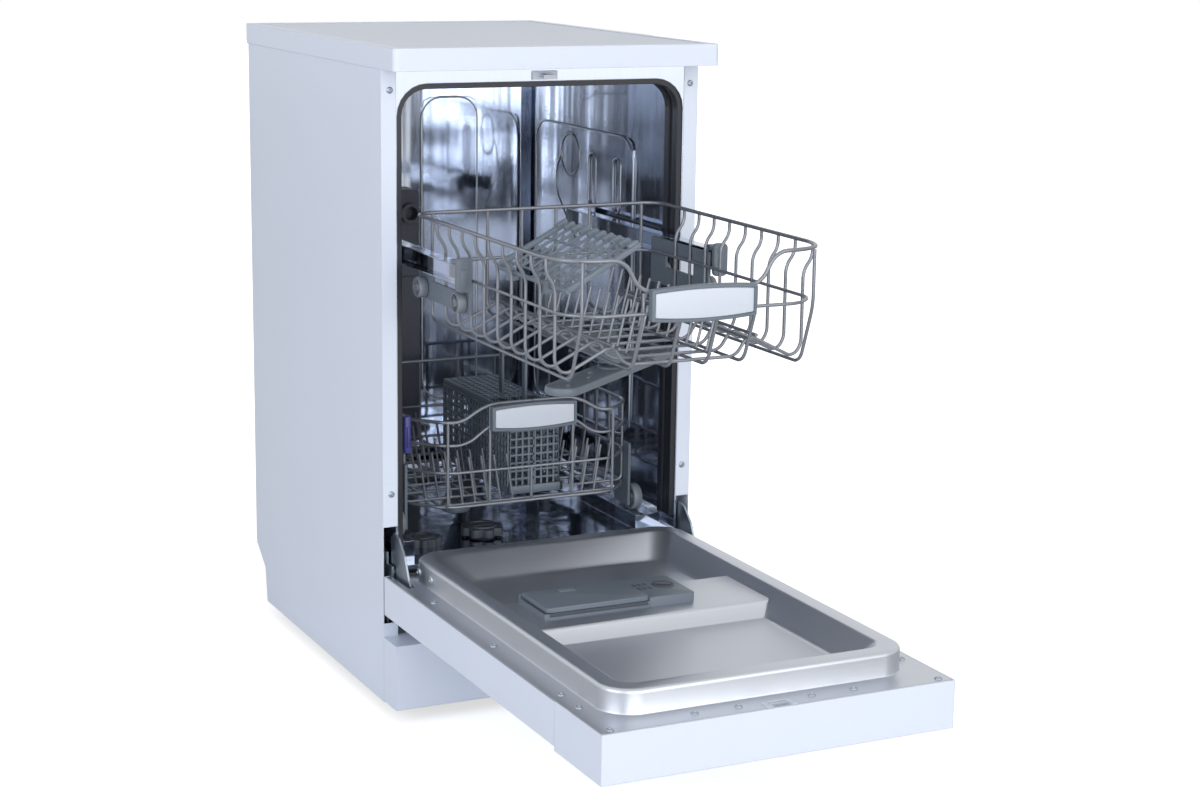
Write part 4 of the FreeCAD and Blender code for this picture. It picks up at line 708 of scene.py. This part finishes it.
class DISHWASHER_OT_handles(bpy.types.Operator):
    """Mould the rack handles: a grey barrel frame with a white panel in it"""

    bl_idname = "dishwasher.handles"
    bl_label = "Handles"

    def execute(self, context):
        for rack in ("upper", "lower"):
            shape = barrel(*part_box(rack + "_handle_frame"))
            face = [f for f in shape.faces if f.normal.y < -0.9]
            for border, depth in ((0.0040, 0.0), (0.0003, -0.0024)):
                bmesh.ops.inset_region(shape, faces=face, thickness=border, depth=depth, use_even_offset=True,
                                       use_boundary=True)
            ease(shape, outline(shape), 0.0016, 3)
            settle(rack + "_handle_frame_moulding", shape, "grey", "grey_plastic", rack + "_rack",
                   rack + "_handle_frame")
            low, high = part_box(rack + "_handle_panel")
            shape = barrel(low - Vector((0, 0.0006, 0)), high)
            ease(shape, [e for e in shape.edges if e.calc_face_angle(0) > SHARP], 0.0008, 3)
            settle(rack + "_handle_panel_moulding", shape, "white", "white_plastic", rack + "_rack",
                   rack + "_handle_panel")
        return {"FINISHED"}


def lattice(wide, tall, columns, rows, bar):
    """A flat moulded grid of square holes."""
    shape = bmesh.new()
    bmesh.ops.create_grid(shape, x_segments=columns, y_segments=rows, size=0.5)
    bmesh.ops.scale(shape, vec=(wide, tall, 1.0), verts=shape.verts[:])
    holes = shape.faces[:]
    bmesh.ops.inset_individual(shape, faces=holes, thickness=bar / 2, use_even_offset=True)
    bmesh.ops.delete(shape, geom=holes, context="FACES_ONLY")
    bmesh.ops.solidify(shape, geom=shape.faces[:], thickness=0.002)
    return shape


class DISHWASHER_OT_cutlery(bpy.types.Operator):
    """Mould the cutlery basket: lattice walls, lid, base and bow handle"""

    bl_idname = "dishwasher.cutlery"
    bl_label = "Cutlery basket"

    def execute(self, context):
        bar = context.scene.dishwasher_sizes.lattice_bar
        x0, x1, y0, y1, z0, z1 = -0.0215, 0.0555, 0.106, 0.336, 0.260, 0.376
        wide, deep, split, foot, strip = x1 - x0, y1 - y0, 0.19, 0.004, 0.003
        mid, centre, level, wall = (x0 + x1) / 2, (y0 + y1) / 2, (z0 + z1) / 2 + 0.001, z1 - z0 - 0.018
        upright, sideways = spun(90, "X"), spun(90, "Z")
        parts = []
        for y in (y0 + 0.002, y1, split):
            parts.append(placed(lattice(wide - 0.004, wall, 8, 9, bar), upright, shift(mid, y, level)))
        for x in (x0, mid - 0.001, x1 - 0.002):
            parts.append(placed(lattice(deep - 0.004, wall, 22, 9, bar), upright, sideways,
                                shift(x, centre, level)))
        parts.append(placed(lattice(wide - 0.002, y1 - split, 7, 13, bar), shift(mid, (y1 + split) / 2, z1)))
        parts.append(placed(lattice(wide - 0.002, deep - 0.002, 8, 22, bar), shift(mid, centre, z0 + 0.003)))
        for low, high, out in ((z1 - 0.009, z1, 0.0006), (z0 + 0.001, z0 + 0.012, 0.0012)):
            for x, y, dx, dy in ((x0, y0, strip, deep), (x1 - strip, y0, strip, deep), (x0, y0, wide, strip),
                                 (x0, y1 - strip, wide, strip)):
                parts.append(block((x - out, y - out, low), (x + dx + out, y + dy + out, high),
                                   0.001, 2, 0.0006))
        for x in (x0 + 0.006, mid, x1 - 0.006):
            for y in (y0 + foot, y1 - foot):
                parts.append(block((x - foot, y - foot, z0), (x + foot, y + foot, z0 + 0.006),
                                   0.0015, 2, 0.0006))
        for y in (0.144, 0.221):
            parts.append(block((mid - 0.002, y - 0.0055, z1 - 0.0005), (mid + 0.002, y + 0.0055, z1 + 0.07),
                               0.0015, 2, 0.0008))
        parts.append(block((mid - 0.004, 0.1385, z1 + 0.0645), (mid + 0.004, 0.2265, z1 + 0.0705),
                           0.002, 1, 0.0008))
        # The basket's pale grey is partly painted light, lightened to offset the shade that the basket sits
        # in
        settle("cutlery_basket_moulding", merged(*parts), "pale_grey", "grey_plastic", "lower_rack",
               "cutlery_basket")
        return {"FINISHED"}


class DISHWASHER_OT_cup_shelf(bpy.types.Operator):
    """Mould the cup shelf: stepped slats on cross rails"""

    bl_idname = "dishwasher.cup_shelf"
    bl_label = "Cup shelf"

    def execute(self, context):
        low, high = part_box("cup_shelf")
        reach, first, last = 0.102, low.y, high.y
        pin, slats = 0.0028, 10
        pitch = (last - first - 0.012) / (slats - 1)
        parts = [turned([(0.0, 0.0), (pin, 0.0), (pin, last - first), (0.0, last - first)], (0.0, first, 0.0),
                        BACKWARD, 12)]
        for y in (first, last - 0.007):
            parts.append(block((0.0, y, -0.0026), (reach, y + 0.007, 0.0034), 0.0012, 0, 0.0008))
        for y in (first + 0.016, first + 0.095, first + 0.174):
            parts.append(block((0.0, y, -0.002), (0.014, y + 0.010, 0.0012), 0.0008, 0, 0.0005))
        for x in (0.0135, 0.041, 0.069, 0.096):
            parts.append(block((x - 0.0016, first, -0.0012), (x + 0.0016, last, 0.0004), 0.0006, 1, 0.0004))
        for k in range(slats):
            y = first + 0.006 + pitch * k
            parts.append(block((0.0125, y - 0.0017, -0.0012), (reach - 0.001, y + 0.0017, 0.0016),
                               0.0006, 0, 0.0004))
            parts.append(block((reach - 0.014, y - 0.0034, 0.0), (reach, y + 0.0034, 0.0062),
                               0.0012, 1, 0.0006))
            # Sloping tabs between this slat and the next one
            for x in (0.0215, 0.0475, 0.0755) if k < slats - 1 else ():
                tab = block((-0.0036, 0.0012 - pitch / 2, -0.0006), (0.0036, -0.0028, 0.0006),
                            0.0005, 2, 0.0003)
                parts.append(placed(tab, spun(-30, "Y"), shift(x, y + pitch / 2, 0.0016)))
        shape = placed(merged(*parts), spun(-28, "Y"), shift(-0.151, 0.0, 0.613))
        settle("cup_shelf_moulding", shape, "pale_grey", "grey_plastic", "cup_shelf_body", "cup_shelf")
        return {"FINISHED"}


class DISHWASHER_OT_spray_arms(bpy.types.Operator):
    """Mould the spray arms: hollow blades with round ends, a lip and nozzles"""

    bl_idname = "dishwasher.spray_arms"
    bl_label = "Spray arms"

    def execute(self, context):
        jet = [(0.0014, 0.0), (0.0036, 0.0), (0.0032, 0.0024), (0.0018, 0.0024), (0.0014, 0.0008)]
        for name, half, wide, turn, y in (("upper_spray_arm", 0.150, 0.044, 38, -0.150),
                                          ("lower_spray_arm", 0.158, 0.040, 62, 0.310)):
            low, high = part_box(name)
            tall = high.z - low.z
            blade = block((-half, -wide / 2, 0.0), (half, wide / 2, tall - 0.0022), wide * 0.49, 2, 0.0035, 9)
            top = max(blade.faces, key=lambda f: f.calc_center_median().z)
            for border, depth in ((0.0024, 0.0), (0.0009, -0.0014)):
                bmesh.ops.inset_region(blade, faces=[top], thickness=border, depth=depth,
                                       use_even_offset=True)
            hub = [(0.0, tall), (0.012, tall), (0.0165, tall - 0.0015), (0.018, tall - 0.005), (0.018, 0.0),
                   (0.0, 0.0)]
            parts = [blade, turned(hub, steps=32)]
            for k, x in enumerate((-0.128, -0.102, -0.073, -0.046, 0.046, 0.073, 0.102, 0.128)):
                parts.append(turned(jet, (x, 0.006 if k % 2 else -0.006, tall - 0.0038), steps=12))
            shape = placed(merged(*parts), spun(turn, "Z"), shift(0.0, y, low.z))
            settle(name + "_moulding", shape, "grey", "grey_plastic", name + "_body", name)
        return {"FINISHED"}


def wheel(radius, wide, spokes):
    """A ring with a web of spokes and a hub, turning about X."""
    w, wall, bore = wide / 2, radius * 0.16, 0.0022
    inner, nave, waist = radius - wall, radius * 0.38, radius * 0.34
    rim = [(inner, -w), (radius - 0.0008, -w), (radius, 0.0012 - w), (radius, w - 0.0012),
           (radius - 0.0008, w), (inner, w), (inner, -w)]
    hub = [(bore, -w), (waist, -w), (nave, 0.0008 - w), (nave, w - 0.0008), (waist, w), (bore, w), (bore, -w)]
    parts = [turned(rim, axis=ACROSS), turned(hub, axis=ACROSS, steps=20)]
    for k in range(spokes):
        spoke = block((-w * 0.45, -0.0011, radius * 0.33), (w * 0.45, 0.0011, radius - wall * 0.6), 0.0005)
        parts.append(placed(spoke, spun(360 / spokes * k, "X")))
    return merged(*parts)


class DISHWASHER_OT_wheels(bpy.types.Operator):
    """Mould the ring wheels of both racks"""

    bl_idname = "dishwasher.wheels"
    bl_label = "Wheels"

    def execute(self, context):
        for name, wide, spokes in (("lower_rollers_front", 0.0116, 6), ("lower_rollers_rear", 0.0116, 6),
                                   ("rack_wheels_front", 0.012, 6), ("rack_wheels_rear", 0.012, 6),
                                   ("guide_rollers", 0.0116, 4)):
            low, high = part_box(name)
            radius = (high.y - low.y) / 2
            y, z = (low.y + high.y) / 2, (low.z + high.z) / 2
            parts = []
            for x in (high.x - wide / 2, low.x + wide / 2):
                parts.append(placed(wheel(radius, wide, spokes), shift(x, y, z)))
            settle(name + "_moulding", merged(*parts), "frosted", "grey_plastic", name + "_body", name)
        return {"FINISHED"}


def rail_clip():
    """The lever and the rear stop of the right rail."""
    low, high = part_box("rail_end_clips")
    inner, outer, front = 0.165, high.x, low.y
    proud = front - 0.0007
    boss = [(0.0, 0.0), (0.0052, 0.0), (0.006, 0.0008), (0.006, 0.004)]
    return merged(
        block((inner, front, low.z), (outer, front + 0.007, high.z), 0.006, 1, 0.0014),
        block((inner, front + 0.003, 0.609), (outer, front + 0.021, 0.6148), 0.002, 1, 0.001),
        block((inner + 0.006, proud, low.z + 0.007), (outer - 0.006, front + 0.004, high.z - 0.015),
              0.003, 1, 0.0008),
        turned(boss, ((inner + outer) / 2, proud, high.z - 0.0085), BACKWARD, 20),
        block((inner + 0.001, high.y - 0.004, 0.584), (outer, high.y, 0.610), 0.003, 1, 0.0008))


class DISHWASHER_OT_rail_clips(bpy.types.Operator):
    """Mould the clips that close the rails: a rounded lever with a rib and a boss, and a rear stop"""

    bl_idname = "dishwasher.rail_clips"
    bl_label = "Rail clips"

    def execute(self, context):
        mirror = Matrix.Scale(-1, 4, ACROSS)
        shape = merged(rail_clip(), placed(rail_clip(), mirror))
        settle("rail_clip_mouldings", shape, "grey", "grey_plastic", "rail_pair", "rail_end_clips")
        return {"FINISHED"}


def lobed(radius, lobes, depth, low, high):
    """A disc with a scalloped grip edge."""
    crown = 0.35
    shape = bmesh.new()
    made = bmesh.ops.create_circle(shape, cap_ends=True, segments=lobes * 8, radius=radius)["verts"]
    for v in made:
        wave = math.cos(lobes * math.atan2(v.co.y, v.co.x))
        v.co *= 1 + depth / radius * (min(wave, crown) - crown)
        v.co.z = low
    raised = bmesh.ops.extrude_face_region(shape, geom=shape.faces[:])["geom"]
    bmesh.ops.translate(shape, vec=(0, 0, high - low), verts=points_of(raised))
    ease(shape, [e for e in shape.edges if min(v.co.z for v in e.verts) > high - TINY], 0.0014, 2)
    return shape


class DISHWASHER_OT_floor_caps(bpy.types.Operator):
    """Mould the scalloped tops of the filter and the salt cap"""

    bl_idname = "dishwasher.floor_caps"
    bl_label = "Filter and salt cap"

    def execute(self, context):
        for name, node, lobes, scallop, skirt, brim, ring, dish, fall, stem in (
                ("filter_moulding", "filter_insert", 8, 0.0045, 0.013, 0.002, (0.52, 0.55, 0.66, 0.70), 0.004,
                 0.004, 0.62),
                ("salt_cap_moulding", "salt_cap", 10, 0.0026, 0.016, 0.0015, (0.4, 0.44, 0.62, 0.68), 0.0022,
                 0.003, 0.7)):
            low, high, centre, radius = round_box(node)
            top = high.z
            r0, r1, r2, r3 = (radius * share for share in ring)
            parts = [lobed(radius, lobes, scallop, top - skirt, top - brim),
                     turned([(0.0, top - dish), (r0, top - dish), (r1, top), (r2, top), (r3, top - fall)]),
                     turned([(0.0, low.z), (radius * stem, low.z), (radius * stem, top - skirt + 0.001)])]
            if node == "filter_insert":
                grip = radius * 0.6
                parts.append(block((-grip, -0.003, top - 0.006), (grip, 0.003, top - 0.0006),
                                   0.0014, 0, 0.001))
            settle(name, placed(merged(*parts), shift(centre.x, centre.y, 0.0)), "charcoal", "dark_plastic",
                   node + "_body", node)
        return {"FINISHED"}


def mould_housing():
    """A ledge round the cup, the raised deck beside it and the slots, whose darkness is painted shade: thin
    dark blocks laid on the housing.
    """
    low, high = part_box("dispenser_body")
    ledge, cup_floor, cup_x, cup_y, deck = 0.2115, 0.2046, (-0.126, -0.004), (-0.247, -0.191), 0.0045
    lap = deck + 0.004
    # Neighbouring blocks differ by fractions of a millimetre, so that no two faces coincide
    parts = [block((low.x + 0.0008, low.y + 0.0008, low.z), (lap, high.y - 0.0008, cup_floor)),
             block(low, (lap, cup_y[0], ledge), 0.0015, 2, 0.0008),
             block((low.x, cup_y[1], low.z), (lap, high.y, ledge), 0.0015, 2, 0.0008),
             block((low.x + 0.0004, low.y + 0.0015, low.z), (cup_x[0], high.y - 0.0015, ledge - 0.0003)),
             block((cup_x[1], low.y + 0.0006, low.z), (lap, high.y - 0.0006, ledge - 0.0003)),
             block((deck, low.y - 0.0004, low.z), (high.x, high.y + 0.0004, high.z), 0.005, 2, 0.0018),
             block((low.x + 0.0006, -0.1798, ledge - 0.006), (lap, high.y - 0.0006, high.z),
                   0.0012, 2, 0.0008),
             block((low.x + 0.004, low.y - 0.0008, high.z - 0.013), (0.006, low.y + 0.01, high.z - 0.0085),
                   0.001, 0, 0.0006)]
    settle("dispenser_housing", merged(*parts), "grey", "grey_plastic", "door", "dispenser_body")
    # Painted shade: the dark band along the front and the six slots on top are thin dark blocks laid proud of
    # the housing, standing in for the shade inside the openings
    dark = [block((low.x + 0.007, low.y - 0.0012, high.z - 0.0082), (0.003, low.y + 0.004, high.z - 0.0052),
                  0.0006, 0)]
    for y in (-0.2225, -0.2075):
        for x in (0.0075, 0.0147, 0.0219):
            slot = block(ORIGIN, (0.0042, 0.0095, 0.0016), 0.0012)
            dark.append(placed(slot, shift(x, y, high.z - 0.0013)))
    settle("dispenser_slots_painted_shade", merged(*dark), "charcoal", "dark_plastic", "door")


def mould_lid():
    """The hinged lid with its lip and its pale tab."""
    low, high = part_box("dispenser_lid")
    lid = [block((low.x, low.y, low.z + 0.0008), (high.x, high.y, high.z - 0.0004), 0.0035, 2, 0.0014),
           block((low.x + 0.006, low.y - 0.0002, low.z + 0.0006),
                 (high.x - 0.004, low.y + 0.004, low.z + 0.0034), 0.001, 0, 0.0004)]
    settle("dispenser_lid_moulding", merged(*lid), "grey", "grey_plastic", "dispenser_lid_body",
           "dispenser_lid")
    tab = block((-0.088, -0.2005, high.z - 0.0012), (-0.066, -0.1895, high.z), 0.0012, 2, 0.0004)
    settle("dispenser_tab", tab, "frosted", "grey_plastic", "dispenser_lid_body")


def mould_rinse_cap():
    """The rinse-aid cap with its grip bar."""
    low, high, centre, radius = round_box("rinse_aid_cap")
    shoulder, brim, dish, grip = 0.2168, 0.2178, 0.2165, radius * 0.78
    profile = [(0.0, low.z), (radius, low.z), (radius, shoulder), (radius - 0.001, brim),
               (radius * 0.82, brim), (grip, dish), (0.0, dish)]
    bar = block((-grip, -0.0026, dish - 0.001), (grip, 0.0026, high.z), 0.0018, 0, 0.0012)
    shape = merged(turned(profile), placed(bar, spun(-32, "Z")))
    settle("rinse_aid_cap_moulding", placed(shape, shift(centre.x, centre.y, 0.0)), "charcoal",
           "dark_plastic", "rinse_aid_cap_body", "rinse_aid_cap")


class DISHWASHER_OT_dispenser(bpy.types.Operator):
    """Mould the detergent dispenser: housing, lid, slots in painted shade and rinse-aid cap"""

    bl_idname = "dishwasher.dispenser"
    bl_label = "Dispenser"

    def execute(self, context):
        mould_housing()
        mould_lid()
        mould_rinse_cap()
        return {"FINISHED"}


def screw_head(place, axis, radius):
    """A pan head with a hollow drive."""
    tall = radius * 0.42
    return turned([(radius, -0.0003), (radius, tall * 0.25), (radius * 0.86, tall * 0.72),
                   (radius * 0.6, tall), (radius * 0.42, tall), (radius * 0.3, tall * 0.3),
                   (0.0, tall * 0.2)], place, axis, 20)


class DISHWASHER_OT_screws(bpy.types.Operator):
    """Drive the screws of the posts, the rear panel and the door flange, and the plugs of the inner door"""

    bl_idname = "dishwasher.screws"
    bl_label = "Screws"

    def execute(self, context):
        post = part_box("side_panel_left")[0].y
        heads = [screw_head((x, post, z), (0, -1, 0), 0.0042)
                 for x in (-0.2095, 0.2095) for z in (0.293, 0.806)]
        settle("post_screws", merged(*heads), "zinc", "zinc_steel", "cabinet")
        low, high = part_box("rear_panel")
        margin, side = 0.012, 0.01
        rows = [low.z + margin + (high.z - low.z - 2 * margin) * k / 3 for k in range(4)]
        heads = [screw_head((x, low.y + 0.0008, z), BACKWARD, 0.0042)
                 for x in (low.x + side, high.x - side) for z in rows]
        settle("rear_screws", merged(*heads), "zinc", "zinc_steel", "cabinet")
        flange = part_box("door_liner")[1].z - FRAME_RISE
        edge = 0.206
        spots = [(-edge, -0.5755)] + [(x, -0.566) for x in (-0.100, -0.046, 0.046, 0.100)] + [(edge, -0.5755)]
        spots += [(x, y) for x in (-edge, edge) for y in (-0.500, -0.455, -0.270, -0.085)]
        heads = [screw_head((x, y, flange), UP, 0.0046) for x, y in spots]
        heads += [screw_head((side * 0.19, y, 0.2005), (side, 0, 0), 0.0055)
                  for side in (-1, 1) for y in (-0.035, 0.006)]
        settle("door_screws", merged(*heads), "zinc", "zinc_steel", "door")
        return {"FINISHED"}


class DISHWASHER_OT_tub_beads(bpy.types.Operator):
    """Press the beads round the fields of the tub walls"""

    bl_idname = "dishwasher.tub_beads"
    bl_label = "Tub beads"

    def execute(self, context):
        beads = new_wire("beads", context.scene.dishwasher_sizes.bead)
        wall, rear, base = 0.1984, 0.5438, 0.3005
        fields = ((0.1898, 0.510, base, 0.720, 0.035), (0.306, 0.330, 0.612, 0.688, 0.012),
                  (0.228, 0.252, 0.612, 0.688, 0.012))
        for x in (-wall, wall):
            for y0, y1, z0, z1, bend in fields:
                lay_wire(beads, [(x, y0, z0), (x, y1, z0), (x, y1, z1), (x, y0, z1)], bend, closed=True)
            radius, turns = 0.031, [math.tau * k / 12 for k in range(12)]
            ring = [(x, 0.391 + radius * math.cos(a), 0.679 + radius * math.sin(a)) for a in turns]
            lay_wire(beads, ring, 0.009, closed=True)
            hook = [(x, 0.421, 0.676), (x, 0.438, 0.655), (x, 0.438, 0.622), (x, 0.372, 0.560)]
            lay_wire(beads, hook, 0.02)
        for x0, x1 in ((0.028, 0.116), (-0.116, -0.028)):
            lay_wire(beads, [(x0, rear, base), (x1, rear, base), (x1, rear, 0.752), (x0, rear, 0.752)], 0.03,
                     closed=True)
        settle("tub_beads", wires_of(beads), "door_steel", "stainless", "cabinet", angle=60)
        return {"FINISHED"}


def floor_finish():
    """Pale seamless paper: white to the camera, and it takes a soft shadow."""
    material, tree = new_material("seamless paper")
    place = add(tree, "ShaderNodeTexCoord").outputs["Object"]
    fibre = add(tree, "ShaderNodeTexNoise", {"Scale": 400.0}, {"Vector": place})
    paper = add(tree, "ShaderNodeBsdfDiffuse", {}, {"Color": spread(tree, fibre.outputs["Fac"], 0.86, 0.9)})
    away = add(tree, "ShaderNodeVectorMath", {"operation": "LENGTH"}, {"Vector": place})
    rise = add(tree, "ShaderNodeMapRange", {"From Min": 0.5, "From Max": 2.2, "To Min": 0.62, "To Max": 1.0},
               {"Value": away.outputs["Value"]})
    glow = add(tree, "ShaderNodeEmission", {}, {"Strength": rise.outputs["Result"]})
    both = add(tree, "ShaderNodeAddShader", {}, {0: paper.outputs[0], 1: glow.outputs[0]})
    light = add(tree, "ShaderNodeLightPath")
    lift = add(tree, "ShaderNodeMixShader", {}, {
        0: light.outputs["Is Camera Ray"], 1: paper.outputs[0], 2: both.outputs[0]})
    add(tree, "ShaderNodeOutputMaterial", {}, {"Surface": lift.outputs[0]})
    return material


def light_world(scene):
    """White to the camera, in reflections and through clear pieces, a soft grey as light."""
    world = bpy.data.worlds.new("studio")
    scene.world = world
    world.use_nodes = True
    tree = world.node_tree
    tree.nodes.clear()
    light = add(tree, "ShaderNodeLightPath")
    seen = light.outputs["Is Camera Ray"]
    for ray in ("Is Glossy Ray", "Is Transmission Ray"):
        larger = add(tree, "ShaderNodeMath", {"operation": "MAXIMUM"}, {0: seen, 1: light.outputs[ray]})
        seen = larger.outputs[0]
    back = add(tree, "ShaderNodeBackground", {"Color": (1.0, 1.0, 1.0, 1.0)},
               {"Strength": spread(tree, seen, 0.42, 1.0)})
    add(tree, "ShaderNodeOutputWorld", {}, {"Surface": back.outputs[0]})


def hang_lamp(name, place, target, wide, tall, power, tone):
    """A softbox aimed at a point."""
    data = bpy.data.lights.new(name, "AREA")
    data.shape = "RECTANGLE"
    data.size, data.size_y = wide, tall
    data.energy = power
    data.color = linear(tone)[:3]
    lamp = bpy.data.objects.new(name, data)
    lamp.location = place
    lamp.rotation_euler = (Vector(target) - Vector(place)).to_track_quat("-Z", "Y").to_euler()
    bpy.context.scene.collection.objects.link(lamp)


def place_camera(scene):
    """The photograph's place and angle, for a frame of 1200 by 800."""
    frame_width, focal_pixels, sensor = 1200, 2317.88, 36.0
    yaw, pitch, roll = math.radians(-26.15), math.radians(12.13), math.radians(0.84)
    ahead = Vector((-math.sin(yaw) * math.cos(pitch), math.cos(yaw) * math.cos(pitch), -math.sin(pitch)))
    right = Vector((math.cos(yaw), math.sin(yaw), 0.0))
    up = right.cross(ahead)
    across = right * math.cos(roll) + up * math.sin(roll)
    upright = up * math.cos(roll) - right * math.sin(roll)
    data = bpy.data.cameras.new("camera")
    data.sensor_width = sensor
    data.lens = focal_pixels / frame_width * sensor
    camera = bpy.data.objects.new("camera", data)
    turn = Matrix((across, upright, -ahead)).transposed()
    camera.matrix_world = shift(-1.23519, -2.63688, 1.03619) @ turn.to_4x4()
    scene.collection.objects.link(camera)
    scene.camera = camera


class DISHWASHER_OT_stage(bpy.types.Operator):
    """Set the pale floor, the soft lamps and the camera"""

    bl_idname = "dishwasher.stage"
    bl_label = "Stage"

    def execute(self, context):
        scene = context.scene
        scene.view_settings.view_transform = "Standard"
        shape = bmesh.new()
        bmesh.ops.create_grid(shape, x_segments=1, y_segments=1, size=14.0)
        mesh = bpy.data.meshes.new("floor")
        shape.to_mesh(mesh)
        shape.free()
        floor = bpy.data.objects.new("floor", mesh)
        scene.collection.objects.link(floor)
        mesh.materials.append(floor_finish())
        light_world(scene)
        # Each lamp: its place and target, its width and height, its power in watts and its colour
        hang_lamp("key softbox", (0.3, -4.0, 1.3), (0.0, -0.1, 0.4), 5.0, 5.0, 108, "ffffff")
        hang_lamp("fill softbox", (-3.4, -1.3, 1.5), (0.0, 0.0, 0.45), 2.6, 2.6, 47, "eef3ff")
        hang_lamp("strip softbox", (-1.48, -3.9, 0.5), (-1.48, 0.0, 0.5), 0.14, 1.3, 5.0, "eef4ff")
        hang_lamp("thin strip softbox", (-1.73, -3.9, 0.5), (-1.73, 0.0, 0.5), 0.05, 1.3, 3.2, "f4f8ff")
        hang_lamp("low softbox", (-0.2, -3.4, 0.45), (0.0, 0.0, 0.25), 1.8, 0.8, 9, "ffffff")
        place_camera(scene)
        return {"FINISHED"}


class DISHWASHER_PT_dressing(bpy.types.Panel):
    """Lists the steps that dress the dishwasher"""

    bl_idname = "DISHWASHER_PT_dressing"
    bl_label = "Dishwasher"
    bl_space_type = "VIEW_3D"
    bl_region_type = "UI"
    bl_category = "Dishwasher"

    def draw(self, context):
        for step in STEPS:
            self.layout.operator(step.bl_idname)


STEPS = (DISHWASHER_OT_finishes, DISHWASHER_OT_upper_basket, DISHWASHER_OT_lower_basket,
         DISHWASHER_OT_inner_door, DISHWASHER_OT_handles, DISHWASHER_OT_cutlery, DISHWASHER_OT_cup_shelf,
         DISHWASHER_OT_spray_arms, DISHWASHER_OT_wheels, DISHWASHER_OT_rail_clips, DISHWASHER_OT_floor_caps,
         DISHWASHER_OT_dispenser, DISHWASHER_OT_screws, DISHWASHER_OT_tub_beads, DISHWASHER_OT_stage)
CLASSES = (DISHWASHER_PG_sizes, DISHWASHER_PG_colours, *STEPS, DISHWASHER_PT_dressing)


def register():
    for item in CLASSES:
        bpy.utils.register_class(item)
    bpy.types.Scene.dishwasher_sizes = bpy.props.PointerProperty(type=DISHWASHER_PG_sizes)
    bpy.types.Scene.dishwasher_colours = bpy.props.PointerProperty(type=DISHWASHER_PG_colours)


def unregister():
    del bpy.types.Scene.dishwasher_colours
    del bpy.types.Scene.dishwasher_sizes
    for item in reversed(CLASSES):
        bpy.utils.unregister_class(item)


def main():
    register()
    for step in STEPS:
        family, name = step.bl_idname.split(".")
        getattr(getattr(bpy.ops, family), name)()


if __name__ == "__main__":
    main()
